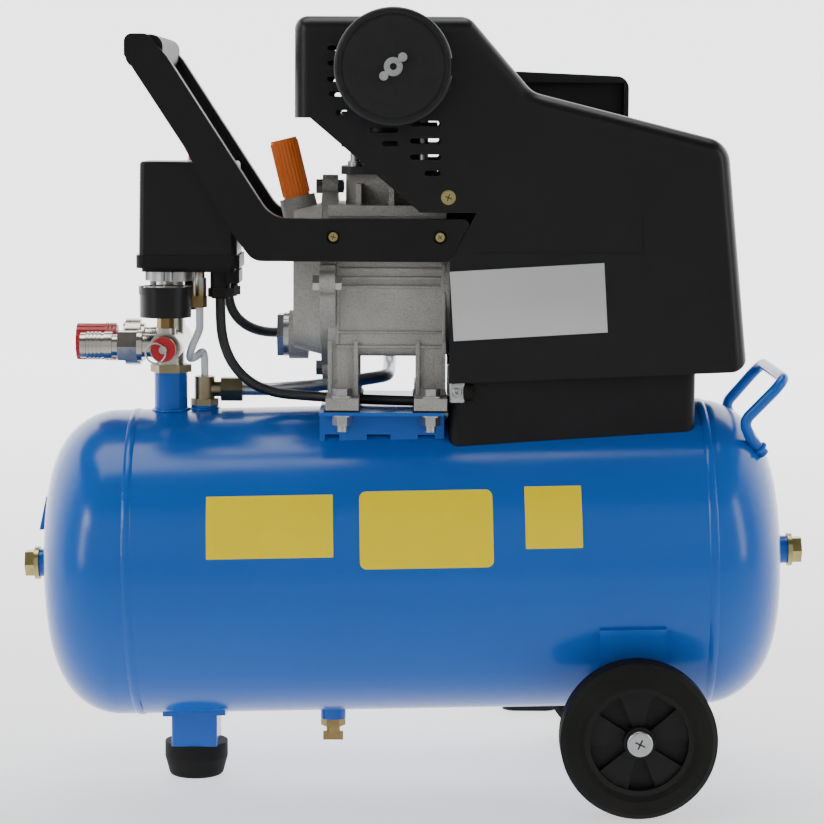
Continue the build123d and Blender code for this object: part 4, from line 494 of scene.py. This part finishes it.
def sticker(name, centre, size, corner):
    """Sheet with rounded corners, pressed onto the shell from the front."""
    bare_selection()
    bpy.ops.mesh.primitive_grid_add(x_subdivisions=6, y_subdivisions=8, size=1)
    sheet = bpy.context.object
    sheet.name = name
    open_mesh()
    bpy.ops.transform.resize(value=(size[0], size[1], 1))
    bpy.ops.mesh.select_all(action="DESELECT")
    close_mesh()
    half_width, half_height = size[0] * 0.499, size[1] * 0.499
    for vertex in sheet.data.vertices:
        vertex.select = abs(vertex.co.x) > half_width and abs(vertex.co.y) > half_height
    bpy.ops.object.mode_set(mode="EDIT")
    bpy.ops.mesh.select_mode(type="VERT")
    bpy.ops.mesh.bevel(offset=corner, segments=5, affect="VERTICES")
    close_mesh()
    sheet.rotation_euler = (math.radians(90), -slope, 0)
    sheet.location = (centre[0], -0.2, centre[1])
    freeze()
    press = sheet.modifiers.new("press", "SHRINKWRAP")
    press.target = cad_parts["tank_shell"]
    press.wrap_method = "PROJECT"
    press.use_project_y = True
    press.offset = vinyl_gap
    bpy.ops.object.modifier_apply(modifier=press.name)
    body = sheet.modifiers.new("body", "SOLIDIFY")
    body.thickness = vinyl_thickness
    body.offset = 0
    bpy.ops.object.modifier_apply(modifier=body.name)
    settle(sheet, vinyl)


sticker("sticker_left", (-0.1078, 0.2160), (0.0952, 0.0450), 0.0006)
sticker("sticker_middle", (0.0097, 0.2149), (0.1001, 0.0561), 0.0050)
sticker("sticker_right", (0.1050, 0.2244), (0.0427, 0.0445), 0.0006)

# ---- black mouldings
# Cowl, capacitor cover, filter housing, switch cover and gauge cases are glossy, with a fine
# pebble; the filter cap is ringed; shroud, handle, hubs and the other plastics are duller.
# The cylinder is stoved black. Tyres and feet are rubber.
gloss_black = Surface("cowl_plastic", (0.0035, 0.0035, 0.004), 0.3, Specular_IOR_Level=0.28)
gloss_black.drift(12, 4, (0.0025, 0.0025, 0.003), (0.005, 0.005, 0.0055))
gloss_black.wear(0.27, 0.14, 18, 3)
gloss_black.relief(gloss_black.noise(900, 2), 0.00008, 0.5)
dress(gloss_black, "motor_cowl", "switch_cover", "filter_mount", "run_capacitor", "gauges")

cap_plastic = Surface("filter_cap_plastic", (0.004, 0.004, 0.0045), 0.34, Specular_IOR_Level=0.3)
centred = cap_plastic.node("Mapping", {}, Vector=cap_plastic.place, Location=(0.0165, 0, -0.5585))
round_y = {"wave_type": "RINGS", "rings_direction": "Y"}
rings = cap_plastic.node(
    "TexWave", round_y, Vector=centred, Scale=36.0, Distortion=0.6, out="Fac"
)
cap_plastic.drift(60, 4, (0.003, 0.003, 0.0035), (0.009, 0.009, 0.0095))
cap_plastic.wear(0.28, 0.2, 90, 4)
cap_plastic.relief(rings * 0.35 + cap_plastic.noise(500, 3), 0.00025, 0.6)
dress(cap_plastic, "filter_cap")

satin_black = Surface("satin_plastic", (0.006, 0.006, 0.0065), 0.45, Specular_IOR_Level=0.2)
satin_black.drift(16, 4, (0.0035, 0.0035, 0.004), (0.008, 0.008, 0.0085))
satin_black.wear(0.38, 0.16, 25, 3)
satin_black.relief(satin_black.noise(700, 3), 0.00012, 0.6)
dress(satin_black, "lower_shroud", "carry_handle", "switch_body", "lead_fixings")
dress(satin_black, "wheel_hub_front", "wheel_hub_rear", "cooling_fan", "plug")

stove_black = Surface("stove_enamel", (0.009, 0.009, 0.0095), 0.38, 0.2)
stove_black.wear(0.3, 0.22, 70, 4)
stove_black.relief(stove_black.noise(380, 3), 0.0002, 0.5)
dress(stove_black, "cylinder")

tyre_rubber = Surface("tyre_rubber", (0.009, 0.009, 0.0085), 0.6, Specular_IOR_Level=0.08)
tyre_rubber.drift(26, 5, (0.007, 0.007, 0.0065), (0.017, 0.0165, 0.015))
tyre_rubber.wear(0.48, 0.24, 60, 4)
tyre_rubber.relief(tyre_rubber.noise(500, 3), 0.0001, 0.6)
dress(tyre_rubber, "tyre_front", "tyre_rear", "rubber_feet")

# ---- castings and core steel
# Crankcase, end cover, head, piston and end bell are die-cast aluminium, blasted, with a
# fine pitted skin. Stator, rotor, rod and bearings are bare steel.
cast_alloy = Surface("die_cast_alloy", (0.36, 0.355, 0.335), 0.5, 0.62)
pits = cast_alloy.noise(620, 5, spread=0.7)
blotch = cast_alloy.noise(38, 5, spread=0.6)
stain = cast_alloy.blend(blotch, (0.27, 0.262, 0.24), (0.44, 0.436, 0.412))
speck = cast_alloy.ramp(pits, [(0.36, 0.55), (0.52, 1.0)])
cast_alloy.feed("Base Color", cast_alloy.blend(speck, (0.16, 0.155, 0.14), stain))
cast_alloy.feed("Roughness", 0.42 + pits * 0.25)
cast_alloy.relief(pits, 0.0011, 0.9)
dress(cast_alloy, "crankcase", "crankcase_cover", "cylinder_head", "piston", "motor_end_bell")

core_steel = Surface("core_steel", (0.2, 0.2, 0.2), 0.45, 0.9)
core_steel.wear(0.38, 0.2, 90, 3)
dress(core_steel, "motor_stator", "rotor", "rod_assembly", "shaft_bearings")

# ---- plated and turned metal
# Bolts, bracket, safety ring and wing nut are zinc plated; manifold, coupler and bonnet are
# nickel plated brass; valves are bare brass and the union nuts a duller one; cover screws and
# end plugs are passivated yellow; the pipes are drawn aluminium.
zinc = Surface("zinc_plating", (0.42, 0.425, 0.43), 0.28, 1.0)
zinc.drift(110, 4, (0.33, 0.335, 0.34), (0.52, 0.52, 0.515))
zinc.wear(0.2, 0.2, 150, 4)
zinc.relief(zinc.noise(600, 2), 0.00005, 0.5)
dress(zinc, "plated_bolts", "safety_ring", "cowl_bracket", "sight_glass", "wing_nut")

nickel = Surface("nickel_plating", (0.46, 0.43, 0.375), 0.22, 1.0)
nickel.drift(45, 4, (0.38, 0.35, 0.295), (0.56, 0.535, 0.48))
nickel.wear(0.14, 0.18, 120, 4)
dress(nickel, "manifold", "coupler_body", "coupler_sleeve", "regulator_bonnet")

brass = Surface("brass", (0.24, 0.165, 0.06), 0.3, 1.0)
brass.drift(60, 4, (0.17, 0.115, 0.04), (0.33, 0.235, 0.1))
brass.wear(0.22, 0.2, 140, 4)
dress(brass, "brass_valves", "drain_screw", "relief_valve")

olive_brass = Surface("dull_brass", (0.26, 0.22, 0.13), 0.36, 1.0)
olive_brass.drift(70, 4, (0.19, 0.155, 0.085), (0.36, 0.315, 0.2))
olive_brass.wear(0.28, 0.2, 120, 3)
dress(olive_brass, "union_nuts")

gold_zinc = Surface("yellow_passivate", (0.38, 0.31, 0.11), 0.3, 1.0)
gold_zinc.drift(90, 3, (0.3, 0.24, 0.07), (0.48, 0.42, 0.2))
gold_zinc.wear(0.22, 0.16, 160, 3)
dress(gold_zinc, "cover_screws", "end_plugs")

tube_metal = Surface("drawn_aluminium", (0.46, 0.47, 0.48), 0.36, 1.0)
tube_metal.feed("Roughness", 0.3 + tube_metal.noise(80, 3, stretch=(1, 6, 6)) * 0.18)
dress(tube_metal, "air_pipes")

# ---- coloured plastics, glass and foam
red_plastic = Surface("red_plastic", (0.38, 0.0, 0.006), 0.3)
red_plastic.drift(40, 3, (0.33, 0.0, 0.005), (0.44, 0.001, 0.009))
red_plastic.wear(0.25, 0.15, 120, 3)
dress(red_plastic, "regulator_knob", "switch_knob", "needle_front", "needle_rear")

orange_plastic = Surface("orange_plastic", (0.86, 0.19, 0.015), 0.35)
orange_plastic.drift(50, 3, (0.78, 0.16, 0.01), (0.93, 0.22, 0.02))
orange_plastic.wear(0.28, 0.15, 100, 3)
dress(orange_plastic, "oil_filler_plug")

foam = Surface("filter_foam", (0.45, 0.42, 0.34), 0.9)
foam.relief(foam.grains(900), 0.0006, 0.8)
dress(foam, "filter_element")

clear = Surface(
    "clear_lens", (0.95, 0.97, 0.97), 0.04, Transmission_Weight=1.0, IOR=1.46, Alpha=1.0
)
clear.wear(0.02, 0.04, 60, 2)
dress(clear, "gauge_lenses")

# ---- parts of CAD nodes with a finish of their own
# One node can hold pieces of two materials, such as a gauge's case, stem and dial. The faces
# of each piece are picked by the box they lie in, in millimetres.
dial_paper = Surface("dial_enamel", (0.8, 0.8, 0.78), 0.5)
dial_paper.wear(0.45, 0.1, 200, 2)
hose_plastic = Surface(
    "natural_nylon", (0.62, 0.64, 0.66), 0.35, Transmission_Weight=0.35, IOR=1.5
)
hose_plastic.wear(0.3, 0.2, 60, 3)
oil_glass = Surface("sight_lens", (0.16, 0.1, 0.03), 0.08, Coat_Weight=0.5)
oil_glass.drift(60, 2, (0.12, 0.07, 0.02), (0.22, 0.15, 0.05))


def tint(surface, name, low, high, reach=None):
    """A finish for a CAD node's faces that lie in a box, and within reach of its middle."""
    middle = [(low[k] + high[k]) / 2 for k in range(3)]
    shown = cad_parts[name]
    shown.data.materials.append(surface.material)
    index = len(shown.data.materials) - 1
    for face in shown.data.polygons:
        spot = [1000 * value for value in face.center]
        if not all(low[k] <= spot[k] <= high[k] for k in range(3)):
            continue
        if reach is None or math.hypot(spot[0] - middle[0], spot[1] - middle[1]) < reach:
            face.material_index = index


for y in (-44, 44):
    tint(brass, "gauges", (-199, y - 8, 359), (-183, y + 8, 368.4))
    tint(dial_paper, "gauges", (-210, y - 19, 385.5), (-172, y + 19, 387.2), 18.7)
tint(red_plastic, "relief_valve", (-205, -67, 330), (-180, -61.05, 360))
tint(zinc, "switch_body", (-215, -24, 393.5), (-169.5, 24, 401.9))
tint(olive_brass, "brass_valves", (-180, -6, 280), (-140, 20, 330))
tint(zinc, "brass_valves", (-175, -23, 392), (-160, -10, 399))
tint(hose_plastic, "air_pipes", (-185, -25, 310), (-155, 12, 380))
tint(oil_glass, "sight_glass", (-106.5, -11.95, 339), (-98, 11.95, 365))
tint(tyre_rubber, "sight_glass", (-98.3, -18, 334), (-97.6, 18, 370))


# ---- ledges on the crankcase casting
# The sides of the case carry raised ledges and a lip each side of the long groove, all cast
# in one with it. Each is a long bar with soft edges, about half of it sunk into the wall.
def ledge(name, low, high, soft):
    """One bar with soft edges between two corners, in millimetres."""
    bar = fresh_cube(name)
    bpy.ops.transform.resize(value=[(high[k] - low[k]) / 1000 for k in range(3)])
    bpy.ops.mesh.bevel(offset=soft / 1000, segments=3, affect="EDGES")
    close_mesh()
    bar.location = [(high[k] + low[k]) / 2000 for k in range(3)]
    return bar


# Left, right, bottom and top of each bar, and how far it stands out of the wall.
case_wall = 58
case_sunk = 56.5
case_ledges = (
    (-58, 23.6, 399.2, 401.2, 1.3),
    (-58, 23.6, 392.4, 394.4, 1.3),
    (-59, 23.6, 405.6, 408.0, 1.0),
    (-59.5, 23.8, 357.8, 359.6, 1.4),
    (-59.5, 23.8, 346.4, 348.8, 1.7),
    (21.2, 23.9, 349.0, 411.0, 1.6),
    (-59.8, -57.4, 349.0, 411.0, 1.2),
)
for side, end in sides:
    for k, (left, right, bottom, top, out) in enumerate(case_ledges):
        ys = sorted((side * case_sunk, side * (case_wall + out)))
        low, high = (left, ys[0], bottom), (right, ys[1], top)
        settle(ledge(f"case_ledge_{end}_{k}", low, high, 0.6), cast_alloy)

# ---- lug and screw on the lower shroud
# On each side a small pressed lug of plated steel holds the shroud's left edge, with one
# pan-head screw and a black rubber bush beside it.
lug_x = 0.0325
lug_z = 0.3143
for side, end in sides:
    ys = sorted((side * 71.5, side * 75.2))
    low, high = (26.6, ys[0], 306.2), (38.4, ys[1], 322.4)
    settle(ledge("shroud_lug_" + end, low, high, 1.3), zinc)

    bare_selection()
    bpy.ops.mesh.primitive_cylinder_add(vertices=32, radius=0.0036, depth=0.0022)
    screw = bpy.context.object
    screw.name = "shroud_screw_" + end
    open_mesh("DESELECT")
    close_mesh()
    for edge in screw.data.edges:
        edge.select = all(screw.data.vertices[v].co.z > 0.001 for v in edge.vertices)
    bpy.ops.object.mode_set(mode="EDIT")
    bpy.ops.mesh.select_mode(type="EDGE")
    bpy.ops.mesh.bevel(offset=0.0012, segments=4, affect="EDGES")
    close_mesh()
    screw.rotation_euler = (math.radians(90) * -side, 0, 0)
    screw.location = (lug_x, side * 0.0760, lug_z)
    settle(screw, zinc)

    bare_selection()
    bpy.ops.mesh.primitive_cylinder_add(vertices=40, radius=0.0068, depth=0.007)
    bush = bpy.context.object
    bush.name = "shroud_bush_" + end
    open_mesh()
    bpy.ops.mesh.bevel(offset=0.001, segments=3, affect="EDGES")
    close_mesh()
    bush.rotation_euler = (0, math.radians(90), 0)
    bush.location = (0.0415, side * 0.0716, lug_z)
    settle(bush, tyre_rubber)

# ---- label plate on the cowl
# Brushed foil, 0.3 mm, stuck on a little askew. Bare here.
foil = Surface("brushed_foil", (0.5, 0.51, 0.5), 0.36, 0.6)
brushed = foil.noise(60, 4, stretch=(1, 1, 30))
foil.drift(9, 2, (0.4, 0.41, 0.41), (0.58, 0.58, 0.56))
foil.feed("Roughness", 0.3 + brushed * 0.16)
foil.relief(brushed, 0.00003, 0.5)
plate = fresh_cube("label_plate")
bpy.ops.transform.resize(value=(0.1165, 0.0003, 0.0525))
bpy.ops.mesh.bevel(offset=0.0001, segments=2, affect="EDGES")
close_mesh()
plate.rotation_euler = (0, math.radians(-3.6), 0)
plate.location = (0.0862, -0.07818, 0.3836)
settle(plate, foil)

# ---- recesses in the screw heads, as painted shade
# Cross recesses in the two axle bolts, the four handle screws, the cowl screw and the two lug
# screws, as painted shade: dark crosses that stand out of the head's face by a fiftieth of a
# millimetre, in place of the shade that falls inside a real recess.
# Near-black colour that stands for the shade in the recesses, not for a colour of the screws.
painted_recess_shade = Surface("recess_shadow", (0.03, 0.029, 0.026), 0.7)
painted_recess_shade.wear(0.6, 0.2, 300, 2)
recess_depth = 0.0006
recess_sunk = 0.00028
bolt_y = 0.1440
handle_screw_z = 0.432
lug_screw_y = 0.0771


def head_face(x, side, z, reach):
    """How far out the cover screw's head at this place stands."""
    near = [
        vertex.co.y * side
        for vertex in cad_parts["cover_screws"].data.vertices
        if math.hypot(vertex.co.x - x, vertex.co.z - z) < reach
    ]
    return side * max(near)


def cross(name, centre, side, span, twist):
    """Two crossed slots of painted shade that lie just proud of a screw head's face."""
    mark = fresh_cube(name)
    bpy.ops.transform.resize(value=(span, recess_depth, span * 0.2))
    bpy.ops.mesh.duplicate()
    bpy.ops.transform.resize(value=(0.2, 1, 5))
    bpy.ops.mesh.select_all(action="SELECT")
    bpy.ops.mesh.bevel(offset=span * 0.03, segments=2, affect="EDGES")
    close_mesh()
    mark.rotation_euler = (0, math.radians(twist), 0)
    mark.location = (centre[0], centre[1] - side * recess_sunk, centre[2])
    settle(mark, painted_recess_shade)


for side, end in sides:
    cross("bolt_recess_wheel_" + end, (0.1695, side * bolt_y, 0.059), side, 0.0085, 25)
    for k, (x, twist) in enumerate(((-0.0615, 12), (0.019, 50))):
        face = head_face(x, side, handle_screw_z, 0.004)
        centre = (x, face, handle_screw_z)
        cross(f"screw_recess_wheel_{end}_{k}", centre, side, 0.0042, twist)
cowl_screw_x, cowl_screw_z = 0.025, 0.462
face = head_face(cowl_screw_x, -1, cowl_screw_z, 0.0062)
cross("cowl_screw_recess", (cowl_screw_x, face, cowl_screw_z), -1, 0.0058, 20)
for side, end in sides:
    cross("lug_recess_" + end, (lug_x, side * lug_screw_y, lug_z), side, 0.0036, 30)

# ---- dial printing
# On both gauges, in black over three quarters of the dial: scale ticks, every fifth one long,
# and the figures 0 to 12.
ink = Surface("dial_ink", (0.01, 0.01, 0.01), 0.5)
ink.wear(0.45, 0.1, 300, 2)
dial_x = -0.191
dial_y = 0.044
print_z = 0.38706
print_height = 0.0001
first_angle = 225
tick_count = 41
tick_step = 6.75
figure_step = 45
figure_reach = 0.0113
short_tick = (0.0160, 0.0018, 0.0003)
long_tick = (0.0152, 0.0034, 0.0005)
for side, end in sides:
    bare_selection()
    speck_size = (0.0002, 0.0002, print_height)
    bpy.ops.mesh.primitive_cube_add(size=1, location=(0, 0, 0), scale=speck_size)
    ticks = bpy.context.object
    ticks.name = "dial_ticks_" + end
    ticks.location = (dial_x, side * dial_y, print_z)
    freeze()
    bpy.ops.object.mode_set(mode="EDIT")
    for k in range(tick_count):
        angle = math.radians(first_angle - tick_step * k)
        reach, length, width = long_tick if k % 5 == 0 else short_tick
        x = dial_x + reach * math.cos(angle)
        y = side * dial_y + reach * math.sin(angle)
        bpy.ops.mesh.primitive_cube_add(
            size=1,
            location=(x, y, print_z),
            rotation=(0, 0, angle),
            scale=(length, width, print_height),
        )
    close_mesh()
    settle(ticks, ink)
    for k, value in enumerate(range(0, 14, 2)):
        angle = math.radians(first_angle - figure_step * k)
        bare_selection()
        bpy.ops.object.text_add(location=(0, 0, 0))
        figure = bpy.context.object
        figure.name = f"dial_figure_{value}_{end}"
        figure.data.body = str(value)
        figure.data.size = 0.0042
        figure.data.extrude = 0.00004
        figure.data.align_x = "CENTER"
        figure.data.align_y = "CENTER"
        bpy.ops.object.convert(target="MESH")
        figure = bpy.context.object
        x = dial_x + figure_reach * math.cos(angle)
        y = side * dial_y + figure_reach * math.sin(angle)
        figure.location = (x, y, print_z)
        settle(figure, ink)
